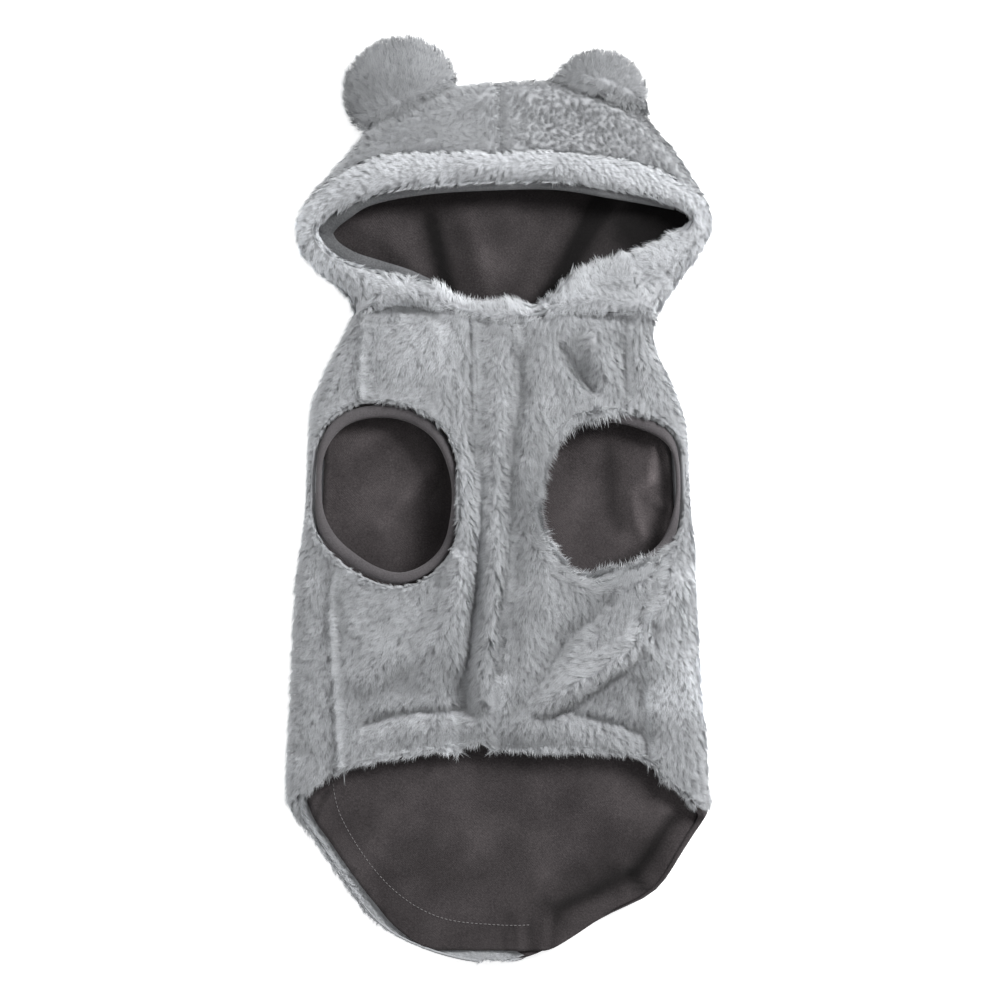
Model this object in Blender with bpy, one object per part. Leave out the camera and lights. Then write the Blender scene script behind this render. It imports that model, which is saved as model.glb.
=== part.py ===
"""Hooded dog coat of grey plush with a dark lining and round ears, laid flat with its belly side up.

Each piece is one that is cut and sewn: a wall of cloth, a little clear of its neighbour at the seam. x runs
across the coat, y from the tail to the hood, and z up from the surface that it lies on. The tables are in
millimetres, and a finished mesh is in metres.
"""

import math
from collections import namedtuple

import bmesh
import bpy
import numpy as np
from mathutils import Vector
from mathutils.geometry import delaunay_2d_cdt

MM = 0.001
LEFT, RIGHT = -1, 1  # as seen from above, with the hood away from the viewer

# Driving dimensions
PLUSH = 5.5  # plush with its pile, as it lies
LINING = 1.2
LINING_GAP = 0.8  # between a lining and the plush that it is sewn to
SEAM = 0.4  # left open between two pieces at a seam
BINDING_DEPTH = 2.0  # of the armhole tape's face under the plush
BINDING_THICK = 3.0  # tape folded over the cloth's raw edge
NECK_Y = 112.0  # the hood's seam across the underside
HOOD_RADIUS = 12.0  # of the hood's side fold
HOOD_RISE = 11.0  # of the crown over its sides
EAR_THICK = 17.0
EAR_MIDDLE_Z = 12.0
EAR_BASE_ROUND = 3.0  # how softly an ear's side turns into its base
PANEL_SPACING = 8.5  # between points inside a front panel
COAT_MIDDLE = (-0.215, -0.32, 0.0)  # of the whole coat in the tables, put at the frame's origin
TAIL_LIFT = 2.5  # of the tail's end off the surface
TAIL_LIFT_FROM = -262.0

# Outline of the body and the tail, seen from above
Outline = namedtuple("Outline", "y left right")
OUTLINE = [
    Outline(112, -87, 94),
    Outline(104, -90.5, 91.5),
    Outline(96, -94.5, 91.2),
    Outline(84, -101, 95.4),
    Outline(72, -107, 101.4),
    Outline(60, -112, 106.8),
    Outline(48, -113.8, 110.4),
    Outline(24, -115.2, 112.8),
    Outline(0, -116, 113.6),
    Outline(-24, -118.8, 116.4),
    Outline(-48, -121.6, 116.8),
    Outline(-72, -123.6, 118.2),
    Outline(-96, -124.4, 119),
    Outline(-120, -125.5, 120.6),
    Outline(-144, -127.2, 123.6),
    Outline(-168, -127.8, 124.2),
    Outline(-180, -126.8, 125.5),
    Outline(-188, -124.5, 125),
    Outline(-194, -121.5, 120.5),
    Outline(-204, -113, 113.5),
    Outline(-216, -105.6, 104),
    Outline(-228, -97.2, 93),
    Outline(-240, -88.8, 78.5),
    Outline(-252, -79.5, 60.5),
    Outline(-260, -70, 47.5),
    Outline(-267, -56, 35),
    Outline(-272, -42, 26),
    Outline(-275.4, -28, 17),
    Outline(-277.2, -16, 8),
]

# The side folds: their outer radius, how far the back wraps round them (90 is over the top, and less than 0
# is a shallow curl), and the wall at the back's edge
SideFold = namedtuple("SideFold", "y radius wrap wall")
LEFT_FOLD = [
    SideFold(112, 12, 90, PLUSH),
    SideFold(60, 11, 90, PLUSH),
    SideFold(-96, 10.5, 90, PLUSH),
    SideFold(-150, 10, 90, PLUSH),
    SideFold(-176, 9, 90, PLUSH),
    SideFold(-180, 9, 62, PLUSH),
    SideFold(-184, 9, 30, PLUSH),
    SideFold(-188, 9.5, 0, PLUSH),
    SideFold(-193, 10.5, -28, PLUSH),
    SideFold(-202, 12, -45, PLUSH),
    SideFold(-277.2, 12, -50, PLUSH),
]
RIGHT_FOLD = [
    SideFold(112, 12, 90, PLUSH),
    SideFold(60, 11, 90, PLUSH),
    SideFold(-96, 10.5, 90, PLUSH),
    SideFold(-150, 10, 90, PLUSH),
    SideFold(-184, 9.5, 90, PLUSH),
    SideFold(-187, 10, 55, 5),
    SideFold(-190, 11, 15, 4),
    SideFold(-194, 14, -12, 3),
    SideFold(-204, 20, -20, 2.4),
    SideFold(-216, 22, -22, 2.2),
    SideFold(-232, 21, -25, 2.2),
    SideFold(-248, 16, -38, 2.4),
    SideFold(-264, 12, -50, 3.5),
    SideFold(-277.2, 10, -55, 5),
]

# How much the belly's middle stands over its side folds
Crown = namedtuple("Crown", "y rise")
CROWN = [
    Crown(112, 3),
    Crown(96, 6),
    Crown(72, 9),
    Crown(40, 11),
    Crown(-20, 12),
    Crown(-96, 12),
    Crown(-130, 6),
    Crown(-145, 0),
    Crown(-154, -1.5),
    Crown(-200, -1.5),
]

# Armholes: the hole's edge round its centre, by angle, and how wide the binding shows outside it
Armhole = namedtuple("Armhole", "side centre shoulder_angle side_angle rows")
Hole = namedtuple("Hole", "angle radius tape")
ARMHOLES = {
    LEFT: Armhole(LEFT, (-69, 2), 102, 235, [
        Hole(0, 40, 5), Hole(22, 41, 6), Hole(50, 45, 8), Hole(72, 46.5, 9), Hole(95, 47.5, 9),
        Hole(117, 48.5, 9), Hole(144, 44.5, 8), Hole(180, 38, 8), Hole(206, 37.5, 9), Hole(237, 38, 9),
        Hole(262, 42, 9), Hole(285, 47, 8), Hole(313, 46, 7), Hole(345, 40.5, 6),
    ]),
    RIGHT: Armhole(RIGHT, (66, 2), 79, -52, [
        Hole(0, 40, 6), Hole(21, 43, 6), Hole(43, 46.5, 8), Hole(70, 44, 9), Hole(93, 44.3, 8),
        Hole(116, 47.5, 6), Hole(152, 43.5, 5), Hole(180, 40.5, 6), Hole(205, 41.5, 7), Hole(228, 44.5, 6),
        Hole(250, 48.5, 5), Hole(270, 43, 6), Hole(298, 41, 8), Hole(311, 41, 8), Hole(344, 38.5, 7),
    ]),
}
TAPE_FROM_OUTLINE = 1.6  # the binding keeps this far in from the coat's outline
TAPE_GAP = 1.5  # between the binding's outer edge and the plush, filled by the pile

# Seams, as points from the hood to the tail or from left to right
SHOULDER_SEAM = {LEFT: [(-80.4, NECK_Y), (-80.8, 80)], RIGHT: [(76, NECK_Y), (76, 80)]}
SIDE_SEAM = {
    LEFT: [(-101, -58), (-98.5, -100), (-95.5, -144), (-95, -161)],
    RIGHT: [(92, -58), (85, -95), (89, -135), (91, -157)],
}
PLACKET_LINE = {
    LEFT: [(-13.2, 107.5), (-13.2, 60), (-13.4, 0), (-13.8, -40), (-14.6, -60), (-17, -86), (-23, -109),
           (-26, -125), (-26, -149.5)],
    RIGHT: [(10.2, 106.5), (9.6, 80), (7.2, 43), (6, 0), (8, -22), (6, -45), (2.5, -72), (-0.6, -95),
            (-2, -120), (-3, -148)],
}
NECK_SEAM = [(-80.4, NECK_Y), (-66, 117), (-51.6, 117.5), (-34.2, 114.5), (-13.2, 107.5), (0, 106),
             (10.2, 106.5), (22, 108.5), (34.8, 111.5), (60.6, 111.5), (76, NECK_Y)]
HEM = [(-95, -161), (-82, -157), (-69, -154), (-48, -151.5), (-26, -149.5), (-14, -145), (-3, -148),
       (23, -150), (50, -150), (75, -151.5), (91, -157)]
HEM_CORNER = {LEFT: [(-95, -161), (-107, -169), (-117.6, -176)],
              RIGHT: [(91, -157), (98, -169), (109, -174), (115.5, -184)]}

# Folds: a path on the plan, how wide the fold is and how high (a trough is negative)
Fold = namedtuple("Fold", "name path width height")
BELLY_FOLDS = [
    Fold("placket, left edge", PLACKET_LINE[LEFT], 5, -6.5),
    Fold("placket, right edge", PLACKET_LINE[RIGHT], 4.5, -5),
    Fold("placket, lower left hollow", [(-18, -92), (-23, -106), (-25, -128)], 7, -4),
    Fold("placket, ridge", [(0, -24), (-1, -60), (-5, -98), (-8, -140)], 6, 3.5),
    Fold("left, long ridge", [(-19.8, 20), (-17, -14), (-23.5, -50), (-38, -75), (-82, -101)], 9, 6),
    Fold("left, under the ridge", [(-32, -62), (-50, -92), (-84, -114)], 9, -3),
    Fold("left, hem line", [(-92, -136), (-60, -128), (-28, -127)], 5, -2.5),
    Fold("left, side crease", [(-121, -150), (-101, -138)], 5, -1.5),
    Fold("left, neck hollow", [(-80, 112), (-62, 111), (-44, 112)], 6, -5),
    Fold("left, neck groove", [(-28.8, 96), (-25, 70), (-22.8, 43)], 4, -2),
    Fold("left, chest swell", [(-45, 84), (-40, 68)], 16, 3),
    Fold("right, armhole valley", [(66, -52), (57, -64), (35, -89), (26, -104)], 7, -6),
    Fold("right, large ridge", [(110, -42), (92, -78), (64, -99), (41, -114), (23, -131)], 9, 8),
    Fold("right, under the ridge", [(78, -101), (57, -115), (34, -128)], 6, -5),
    Fold("right, pocket", [(76, -112), (52, -124)], 10, -3),
    Fold("right, neck groove", [(39, 94), (48, 80), (55, 64)], 5, -5),
    Fold("right, neck bump", [(56, 96), (60, 80)], 9, 4),
    Fold("right, hem line", [(30, -129), (72, -134), (92, -141), (110, -150)], 5, -2.5),
    Fold("right, side swell", [(106, 40), (108, 10), (110, -30)], 9, 2),
]
RIM_FOLDS = [
    Fold("right, lower crease", [(66, 127), (84, 131), (104, 138)], 5, -4),
    Fold("left, middle swell", [(-60, 126), (-90, 132)], 7, 1.5),
]
HOOD_LINING_FOLDS = [
    Fold("middle ridge", [(0, 200), (2, 161), (-4, 128)], 20, 5),
    Fold("left ridge", [(-86, 176), (-60, 150), (-48, 128)], 14, 4),
    Fold("right ridge", [(76, 190), (66, 150), (52, 122)], 13, 4.5),
]
BACK_LINING_FOLDS = [
    Fold("left armhole, upper", [(-96, 26), (-60, 44)], 8, 3),
    Fold("left armhole, lower", [(-76, -20), (-38, 22)], 9, 3.5),
    Fold("right armhole, long", [(94, 34), (88, 6), (64, -24)], 7, 4.5),
    Fold("right armhole, branch", [(86, 8), (72, 26)], 6, 2.5),
    Fold("tail, middle ridge", [(28, -222), (20, -236), (8, -252)], 8, 3.5),
    Fold("tail, right patch", [(62, -178), (70, -192)], 14, 3),
    Fold("tail, left swell", [(-52, -176), (-24, -214)], 18, 2.5),
    Fold("tail, edge wrinkle", [(2, -264), (20, -266)], 5, 1.5),
]

# The hood's outline, with the neck first. cover is how far its cloth reaches past the middle of the side
# fold, to the seam of the band round the face
HoodEdge = namedtuple("HoodEdge", "x y cover")
HOOD_EDGE = {
    LEFT: [
        HoodEdge(-87, 112, 0), HoodEdge(-88, 121, 0), HoodEdge(-103.8, 132, 0), HoodEdge(-116.4, 144, 0),
        HoodEdge(-122.6, 157, 0), HoodEdge(-122.4, 169, 0), HoodEdge(-115.8, 180, 3),
        HoodEdge(-105, 192, 9), HoodEdge(-93, 205, 16), HoodEdge(-84.6, 216, 22),
        HoodEdge(-74, 225, 29), HoodEdge(-50, 237.6, 42), HoodEdge(-22.8, 249, 51),
        HoodEdge(0, 252, 53),
    ],
    RIGHT: [
        HoodEdge(94, 112, 0), HoodEdge(99.5, 120, 0), HoodEdge(106.2, 132, 0), HoodEdge(115.8, 144, 0),
        HoodEdge(124.4, 156, 0), HoodEdge(127.8, 168, 0), HoodEdge(124.4, 180, 4),
        HoodEdge(115.6, 192, 12), HoodEdge(108, 204, 20), HoodEdge(99.6, 216, 30),
        HoodEdge(84, 232.6, 43), HoodEdge(61, 244.5, 48), HoodEdge(34.8, 251.6, 52),
        HoodEdge(0, 252, 53),
    ],
}

# The band round the face: near each point of its seam, where its open edge lies
RimEdge = namedtuple("RimEdge", "seam_x seam_y x y z")
RIM_EDGE = [
    RimEdge(0, 206, 0, 189, 30), RimEdge(-43, 205, -44, 186.5, 29), RimEdge(-83, 202, -77, 181, 26),
    RimEdge(-101, 190, -94, 174, 22), RimEdge(-116, 180, -105, 167.5, 19),
    RimEdge(-122.6, 163, -110.4, 160, 18), RimEdge(-118, 146, -104.5, 149, 18),
    RimEdge(-104, 132, -90, 141.5, 18.5), RimEdge(-88, 120, -72, 136.5, 20),
    RimEdge(-80.4, 112, -56, 133.5, 21), RimEdge(-52, 117.5, -39, 129, 22),
    RimEdge(-34, 114.5, -29, 121.5, 22.5), RimEdge(-13, 107.5, -11, 115.5, 23),
    RimEdge(0, 106, 4, 118, 23), RimEdge(22, 108.5, 22, 113.5, 23), RimEdge(35, 111.5, 36, 124.5, 23),
    RimEdge(60, 111.5, 47, 136, 22.5), RimEdge(80, 112, 62, 141, 22), RimEdge(94, 112, 76, 145.5, 21),
    RimEdge(106, 132, 91, 150.5, 19.5), RimEdge(119, 148, 107, 157.5, 18.5),
    RimEdge(127.5, 166, 114.6, 170.5, 18.5), RimEdge(120, 186, 105, 176, 21),
    RimEdge(106, 197, 90, 180, 25), RimEdge(76, 202, 68, 184, 28), RimEdge(35, 207, 35, 189, 30),
]
RIM_BULGE = 3.0
RIM_TIP = 3.4  # half the band's height at its open edge

# Ears: the seam's ends on the crown, how far the lobe's middle stands off it, and the lobe's half sizes
Ear = namedtuple("Ear", "name start end stand_off half_width half_length")
EARS = [
    Ear("ear_left", (-79.5, 222.4), (-30, 245.8), 10.9, 33.5, 32.5),
    Ear("ear_right", (36, 251.2), (84, 232.6), -4, 28.5, 31),
]

# Where the back and its lining have a row of points
BACK_ROWS = [
    112, 104, 95, 86, 77, 68, 61, 56, 52, 47, 41, 34, 26, 14, 0, -12, -22, -30, -36, -41, -48, -58, -70, -84,
    -98, -112, -126, -140, -151, -158, -164, -170, -176, -180, -184, -188, -192, -197, -204, -213, -224,
    -236, -248, -258, -266, -272, -275.4, -277.2,
]
LINING_ROWS = [
    112, 104, 95, 77, 61, 47, 34, 14, 0, -12, -22, -36, -48, -70, -98, -126, -140, -151, -158, -164,
    -170, -176, -180, -184, -188, -192, -197, -204, -213, -224, -236, -248, -258, -266,
]
# How far the lining's edge lies inside the outline
LiningEdge = namedtuple("LiningEdge", "y left right")
LINING_EDGE = [
    LiningEdge(112, 11, 11), LiningEdge(60, 9.5, 9.5), LiningEdge(-160, 9.5, 9.5),
    LiningEdge(-176, 10, 8), LiningEdge(-190, 11, 4), LiningEdge(-204, 10, 2.5),
    LiningEdge(-236, 11, 2.5), LiningEdge(-254, 13, 4), LiningEdge(-268, 17, 7),
]


def clamp(value, low, high):
    return max(low, min(high, value))


def blend(start, end, share):
    return start + (end - start) * share


def ease(share):
    """0 to 1 with level ends."""
    share = clamp(share, 0.0, 1.0)
    return share * share * (3 - 2 * share)


def smooth(rows, key, column):
    """A function of the key that runs through the column's values and never overshoots them."""
    ordered = sorted((getattr(row, key), getattr(row, column)) for row in rows)
    knots = np.array([knot for knot, _ in ordered], float)
    values = np.array([value for _, value in ordered], float)
    step = np.diff(knots)
    slope = np.diff(values) / step
    tangent = np.zeros(len(knots))
    tangent[0], tangent[-1] = slope[0], slope[-1]
    for i in range(1, len(knots) - 1):
        if slope[i - 1] * slope[i] > 0:
            before, after = 2 * step[i] + step[i - 1], step[i] + 2 * step[i - 1]
            tangent[i] = (before + after) / (before / slope[i - 1] + after / slope[i])

    def read(at):
        at = clamp(at, knots[0], knots[-1])
        i = int(clamp(np.searchsorted(knots, at) - 1, 0, len(step) - 1))
        t = (at - knots[i]) / step[i]
        rise = values[i + 1] - values[i]
        lead, trail = tangent[i] * step[i], tangent[i + 1] * step[i]
        return float(values[i] + t * (lead + t * (3 * rise - 2 * lead - trail + t * (lead + trail - 2 * rise))))

    return read


def curve_points(rows, count):
    """A smooth curve through the rows, read at equal steps along its first two columns."""
    knots = np.array(rows, float)
    length = np.concatenate([[0], np.cumsum(np.linalg.norm(np.diff(knots[:, :2], axis=0), axis=1))])
    tangents = np.gradient(knots, length, axis=0)
    points = []
    for at in np.linspace(0, length[-1], count):
        i = int(clamp(np.searchsorted(length, at) - 1, 0, len(length) - 2))
        step = length[i + 1] - length[i]
        t = (at - length[i]) / step
        rise = knots[i + 1] - knots[i]
        lead, trail = tangents[i] * step, tangents[i + 1] * step
        points.append(knots[i] + t * (lead + t * (3 * rise - 2 * lead - trail + t * (lead + trail - 2 * rise))))
    return points


def resample(points, spacing):
    """The same chain of straight runs, with each run cut into steps no longer than the spacing."""
    chain = []
    for start, end in zip(points, points[1:]):
        steps = max(1, math.ceil(math.dist(start, end) / spacing))
        chain += [(blend(start[0], end[0], i / steps), blend(start[1], end[1], i / steps)) for i in range(steps)]
    return chain + [tuple(points[-1])]


def x_on_chain(chain, y):
    """x where a chain that runs down the coat crosses y."""
    for (x0, y0), (x1, y1) in zip(chain, chain[1:]):
        if y1 <= y <= y0:
            return blend(x0, x1, (y0 - y) / max(y0 - y1, 1e-9))
    return None


def distance_to_path(path, x, y):
    """Distance to a path, and how far along it the nearest point is, from 0 to 1."""
    best, place, total = 1e9, 0.0, 0.0
    for (x0, y0), (x1, y1) in zip(path, path[1:]):
        run = math.dist((x0, y0), (x1, y1))
        share = clamp(((x - x0) * (x1 - x0) + (y - y0) * (y1 - y0)) / run**2, 0, 1)
        away = math.dist((x, y), (blend(x0, x1, share), blend(y0, y1, share)))
        if away < best:
            best, place = away, total + share * run
        total += run
    return best, place / total


def relief(folds, x, y):
    """Height that the folds add at a point. A fold is deepest in its middle and soft at its ends."""
    height = 0.0
    for fold in folds:
        away, along = distance_to_path(fold.path, x, y)
        if away < 3 * fold.width:
            height += fold.height * math.exp(-((away / fold.width) ** 2)) * (0.45 + 0.55 * math.sin(math.pi * along))
    return height


outline_x = {LEFT: smooth(OUTLINE, "y", "left"), RIGHT: smooth(OUTLINE, "y", "right")}
side_fold = {
    side: {column: smooth(rows, "y", column) for column in ("radius", "wrap", "wall")}
    for side, rows in ((LEFT, LEFT_FOLD), (RIGHT, RIGHT_FOLD))
}
crown_rise = smooth(CROWN, "y", "rise")
lining_inset = {LEFT: smooth(LINING_EDGE, "y", "left"), RIGHT: smooth(LINING_EDGE, "y", "right")}


def plain_height(x, y):
    """Height of the coat's upper face without its folds: rounded side folds and a crowned belly."""
    left, right = outline_x[LEFT](y), outline_x[RIGHT](y)
    radius = side_fold[LEFT if x < (left + right) / 2 else RIGHT]["radius"](y)
    inside = max(min(x - left, right - x), 0.0)
    if inside < radius:
        return radius + math.sqrt(radius**2 - (radius - inside) ** 2)
    inward = clamp((inside - radius) / ((right - left) / 2 - radius), 0, 1)
    middle_radius = (side_fold[LEFT]["radius"](y) + side_fold[RIGHT]["radius"](y)) / 2
    rise = 2 * (middle_radius - radius) + crown_rise(y)
    return 2 * radius + rise * 0.5 * (1 - math.cos(math.pi * inward))


def belly_height(x, y):
    """Height of the coat's upper face with its folds, which fade out on the side folds."""
    left, right = outline_x[LEFT](y), outline_x[RIGHT](y)
    radius = side_fold[LEFT if x < (left + right) / 2 else RIGHT]["radius"](y)
    inside = max(min(x - left, right - x), 0.0)
    return plain_height(x, y) + relief(BELLY_FOLDS, x, y) * clamp((inside - 0.4 * radius) / radius, 0, 1)


def under_face(x, y, depth):
    """Point at a depth in the cloth under a point of the upper face, square to the face across the coat."""
    step = 0.3
    slope = (plain_height(x + step, y) - plain_height(x - step, y)) / (2 * step)
    length = math.hypot(slope, 1)
    return (x + depth * slope / length, y, belly_height(x, y) - depth / length)


# ---- armholes and the seams that meet them


def armhole_reader(hole, column):
    """The column's value by angle, running smoothly through the full circle."""
    wrapped = [Hole(row.angle + turn, row.radius, row.tape) for turn in (-360, 0, 360) for row in hole.rows]
    return smooth(wrapped, "angle", column)


def armhole_point(side, angle, outward):
    """Point at an angle round the armhole. outward is 0 on the hole's edge and 1 on the binding's outer edge."""
    hole = ARMHOLES[side]
    radius = armhole_radius[side](angle % 360) + outward * armhole_tape[side](angle % 360)
    x = hole.centre[0] + radius * math.cos(math.radians(angle))
    y = hole.centre[1] + radius * math.sin(math.radians(angle))
    limit = outline_x[side](y) - side * TAPE_FROM_OUTLINE
    return (max(x, limit) if side == LEFT else min(x, limit), y)


armhole_radius = {side: armhole_reader(ARMHOLES[side], "radius") for side in (LEFT, RIGHT)}
armhole_tape = {side: armhole_reader(ARMHOLES[side], "tape") for side in (LEFT, RIGHT)}


def armhole_arc(side, over_front):
    """The binding's outer edge from the shoulder seam to the side seam, over the front or over the back."""
    hole = ARMHOLES[side]
    start, end = hole.shoulder_angle, hole.side_angle
    if side == LEFT and over_front:
        end -= 360
    if side == RIGHT and over_front:
        end += 360
    steps = round(abs(end - start) / 10)
    return [armhole_point(side, blend(start, end, i / steps), 1.0) for i in range(steps + 1)]


def shoulder_chain(side):
    hole = ARMHOLES[side]
    return resample(SHOULDER_SEAM[side] + [armhole_point(side, hole.shoulder_angle, 1.0)], PANEL_SPACING)


def side_chain(side):
    hole = ARMHOLES[side]
    return resample([armhole_point(side, hole.side_angle, 1.0)] + SIDE_SEAM[side], PANEL_SPACING)


def back_edge_chain(side):
    """The back's edge on the upper side: shoulder seam, armhole, side seam and the corner of the hem."""
    return shoulder_chain(side) + armhole_arc(side, over_front=False)[1:] + side_chain(side)[1:] + HEM_CORNER[side][1:]


back_edge = {side: back_edge_chain(side) for side in (LEFT, RIGHT)}


# ---- meshes


def cloth_material(name, color, roughness):
    material = bpy.data.materials.new(name)
    material.use_nodes = True
    shader = material.node_tree.nodes["Principled BSDF"]
    shader.inputs["Base Color"].default_value = (*color, 1)
    shader.inputs["Roughness"].default_value = roughness
    shader.inputs["Metallic"].default_value = 0.0
    return material


def finish(name, mesh_points, faces, color, roughness=0.95):
    """An object from points in millimetres. Points that coincide are merged, and the faces look outwards."""
    build = bmesh.new()
    vertices = [build.verts.new((Vector(point) - Vector(COAT_MIDDLE)) * MM) for point in mesh_points]
    for face in faces:
        if len(set(face)) > 2:
            build.faces.new([vertices[i] for i in face])
    bmesh.ops.remove_doubles(build, verts=build.verts, dist=1e-7)
    bmesh.ops.triangulate(build, faces=build.faces, quad_method="SHORT_EDGE")
    bmesh.ops.recalc_face_normals(build, faces=build.faces)
    mesh = bpy.data.meshes.new(name)
    build.to_mesh(mesh)
    build.free()
    mesh.shade_smooth()
    mesh.materials.append(cloth_material(name, color, roughness))
    piece = bpy.data.objects.new(name, mesh)
    coat.objects.link(piece)
    return piece


def wall(name, outer, inner, color):
    """A closed wall between two grids of points, each a list of rows."""
    rows, columns = len(outer), len(outer[0])
    points = [point for grid in (outer, inner) for row in grid for point in row]
    far = rows * columns

    def at(row, column):
        return row * columns + column

    faces = []
    for i in range(rows - 1):
        for j in range(columns - 1):
            corners = [at(i, j), at(i, j + 1), at(i + 1, j + 1), at(i + 1, j)]
            faces.append(corners)
            faces.append([far + k for k in reversed(corners)])
    rim = [at(0, j) for j in range(columns)] + [at(i, columns - 1) for i in range(1, rows)]
    rim += [at(rows - 1, j) for j in range(columns - 2, -1, -1)] + [at(i, 0) for i in range(rows - 2, 0, -1)]
    for i, corner in enumerate(rim):
        following = rim[(i + 1) % len(rim)]
        faces.append([following, corner, far + corner, far + following])
    return finish(name, points, faces, color)


def ring(name, sections, color):
    """A closed ring through closed sections."""
    count, around = len(sections), len(sections[0])
    points = [point for section in sections for point in section]
    faces = []
    for i in range(count):
        for j in range(around):
            k, m = (i + 1) % count, (j + 1) % around
            faces.append([i * around + j, i * around + m, k * around + m, k * around + j])
    return finish(name, points, faces, color)


def inset(outline, distance):
    """A closed outline moved inwards by the distance."""
    area = sum(x0 * y1 - x1 * y0 for (x0, y0), (x1, y1) in zip(outline, outline[1:] + outline[:1]))
    turn = 1 if area > 0 else -1
    moved = []
    for i, (x, y) in enumerate(outline):
        before = Vector((x, y)) - Vector(outline[i - 1])
        after = Vector(outline[(i + 1) % len(outline)]) - Vector((x, y))
        first = Vector((-before.y, before.x)).normalized() * turn
        second = Vector((-after.y, after.x)).normalized() * turn
        shift = (first + second) / max(1 + first.dot(second), 0.5) * distance
        moved.append((x + shift.x, y + shift.y))
    return moved


def is_inside(outline, x, y):
    crossed = False
    for (x0, y0), (x1, y1) in zip(outline, outline[1:] + outline[:1]):
        if (y0 > y) != (y1 > y) and x < blend(x0, x1, (y - y0) / (y1 - y0)):
            crossed = not crossed
    return crossed


def without_repeats(chain):
    return [point for i, point in enumerate(chain) if math.dist(point, chain[i - 1]) > 0.01]


def panel(name, outline, color):
    """A wall of plush under the belly's upper face, cut to an outline."""
    outline = inset(without_repeats(outline), SEAM / 2 + 0.1)
    closed = outline + outline[:1]
    xs, ys = zip(*outline)
    points = [Vector(point) for point in outline]
    row_step = PANEL_SPACING * math.sqrt(3) / 2
    for row in range(1, int((max(ys) - min(ys)) / row_step) + 1):
        y = min(ys) + row * row_step
        x = min(xs) + (row % 2) * PANEL_SPACING / 2
        while x < max(xs):
            if is_inside(outline, x, y) and distance_to_path(closed, x, y)[0] > 0.5 * PANEL_SPACING:
                points.append(Vector((x, y)))
            x += PANEL_SPACING
    edges = [(i, (i + 1) % len(outline)) for i in range(len(outline))]
    flat, _, triangles, *_ = delaunay_2d_cdt(points, edges, [], 1, 1e-6)
    upper = [(p.x, p.y, belly_height(p.x, p.y)) for p in flat]
    lower = [under_face(p.x, p.y, PLUSH) for p in flat]
    count = len(flat)
    uses = {}
    for a, b, c in triangles:
        for edge in ((a, b), (b, c), (c, a)):
            uses[tuple(sorted(edge))] = uses.get(tuple(sorted(edge)), []) + [edge]
    faces = [list(triangle) for triangle in triangles]
    faces += [[count + i for i in reversed(triangle)] for triangle in triangles]
    faces += [[b, a, count + a, count + b] for found in uses.values() if len(found) == 1 for a, b in found]
    return finish(name, upper + lower, faces, color)


# ---- the body


def fold_sections(side, y, steps, from_middle=False):
    """The back's wall round a side fold: outer and inner points from its foot, or its middle, to its edge."""
    radius, wrap, edge_wall = (side_fold[side][column](y) for column in ("radius", "wrap", "wall"))
    edge = x_on_chain(back_edge[side], y)
    run = 0.0
    if edge is not None:
        inside = max(side * (outline_x[side](y) - edge) - SEAM / 2, 1.0)
        run = max(inside - radius, 0.0)
        wrap = math.degrees(math.acos((radius - min(inside, radius)) / radius))
    centre = outline_x[side](y) - side * radius * math.cos(math.radians(min(wrap, 0)))
    arc = radius * math.radians(90 + wrap)
    total = arc + run
    last = max(run, 0.3 * total)
    start = radius * math.radians(90) if from_middle else 0.0
    lift = TAIL_LIFT * ease((TAIL_LIFT_FROM - y) / (TAIL_LIFT_FROM - OUTLINE[-1].y))
    outer, inner = [], []
    for i in range(steps + 1):
        if from_middle:
            along = blend(start, total, i / steps)
        elif i <= steps - 2:
            along = (total - last) * i / (steps - 2)
        else:
            along = total - last + last * (i - steps + 2) / 2
        thick = blend(PLUSH, edge_wall, along / total)
        angle = min(along / radius, math.radians(180)) - math.pi / 2
        x = centre + side * radius * math.cos(angle) - side * max(along - arc, 0.0) * (angle > 1.5)
        if angle <= 0:
            z = radius + radius * math.sin(angle)
            inner.append((x - side * thick * math.cos(angle), y, z - thick * math.sin(angle) + lift))
        else:
            z = belly_height(x, y)
            under = under_face(x, y, thick)
            inner.append((under[0], y, under[2] + lift))
        outer.append((x, y, z + lift))
    return outer, inner


FOLD_STEPS, FLAT_STEPS = 8, 4


def back_panel():
    """The back lies underneath, comes up round both sides and runs on into the tail."""
    outer, inner = [], []
    for row in BACK_ROWS:
        y = row - SEAM / 2 if row == NECK_Y else row
        left_outer, left_inner = fold_sections(LEFT, y, FOLD_STEPS)
        right_outer, right_inner = fold_sections(RIGHT, y, FOLD_STEPS)
        for grid, left, right in ((outer, left_outer, right_outer), (inner, left_inner, right_inner)):
            flat = []
            for i in range(1, FLAT_STEPS):
                share = i / FLAT_STEPS
                flat.append(tuple(blend(a, b, share) for a, b in zip(left[0], right[0])))
            grid.append(left[::-1] + flat + right)
    return wall("back_panel", outer, inner, PLUSH_COLOR)


def back_inner_height(x, y):
    """Height of the back's inner face, from the same sections as its wall."""
    height = None
    for side in (LEFT, RIGHT):
        _, inner = fold_sections(side, y, FOLD_STEPS)
        floor = inner[0][2]
        if side * (x - inner[0][0]) <= 0:
            height = floor if height is None else height
            continue
        for (x0, _, z0), (x1, _, z1) in zip(inner, inner[1:]):
            if side * (x - x0) >= 0 and side * (x1 - x) >= 0:
                return blend(z0, z1, (x - x0) / (x1 - x0))
        return inner[-1][2]
    return height


LINING_COLUMNS = 16


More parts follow.
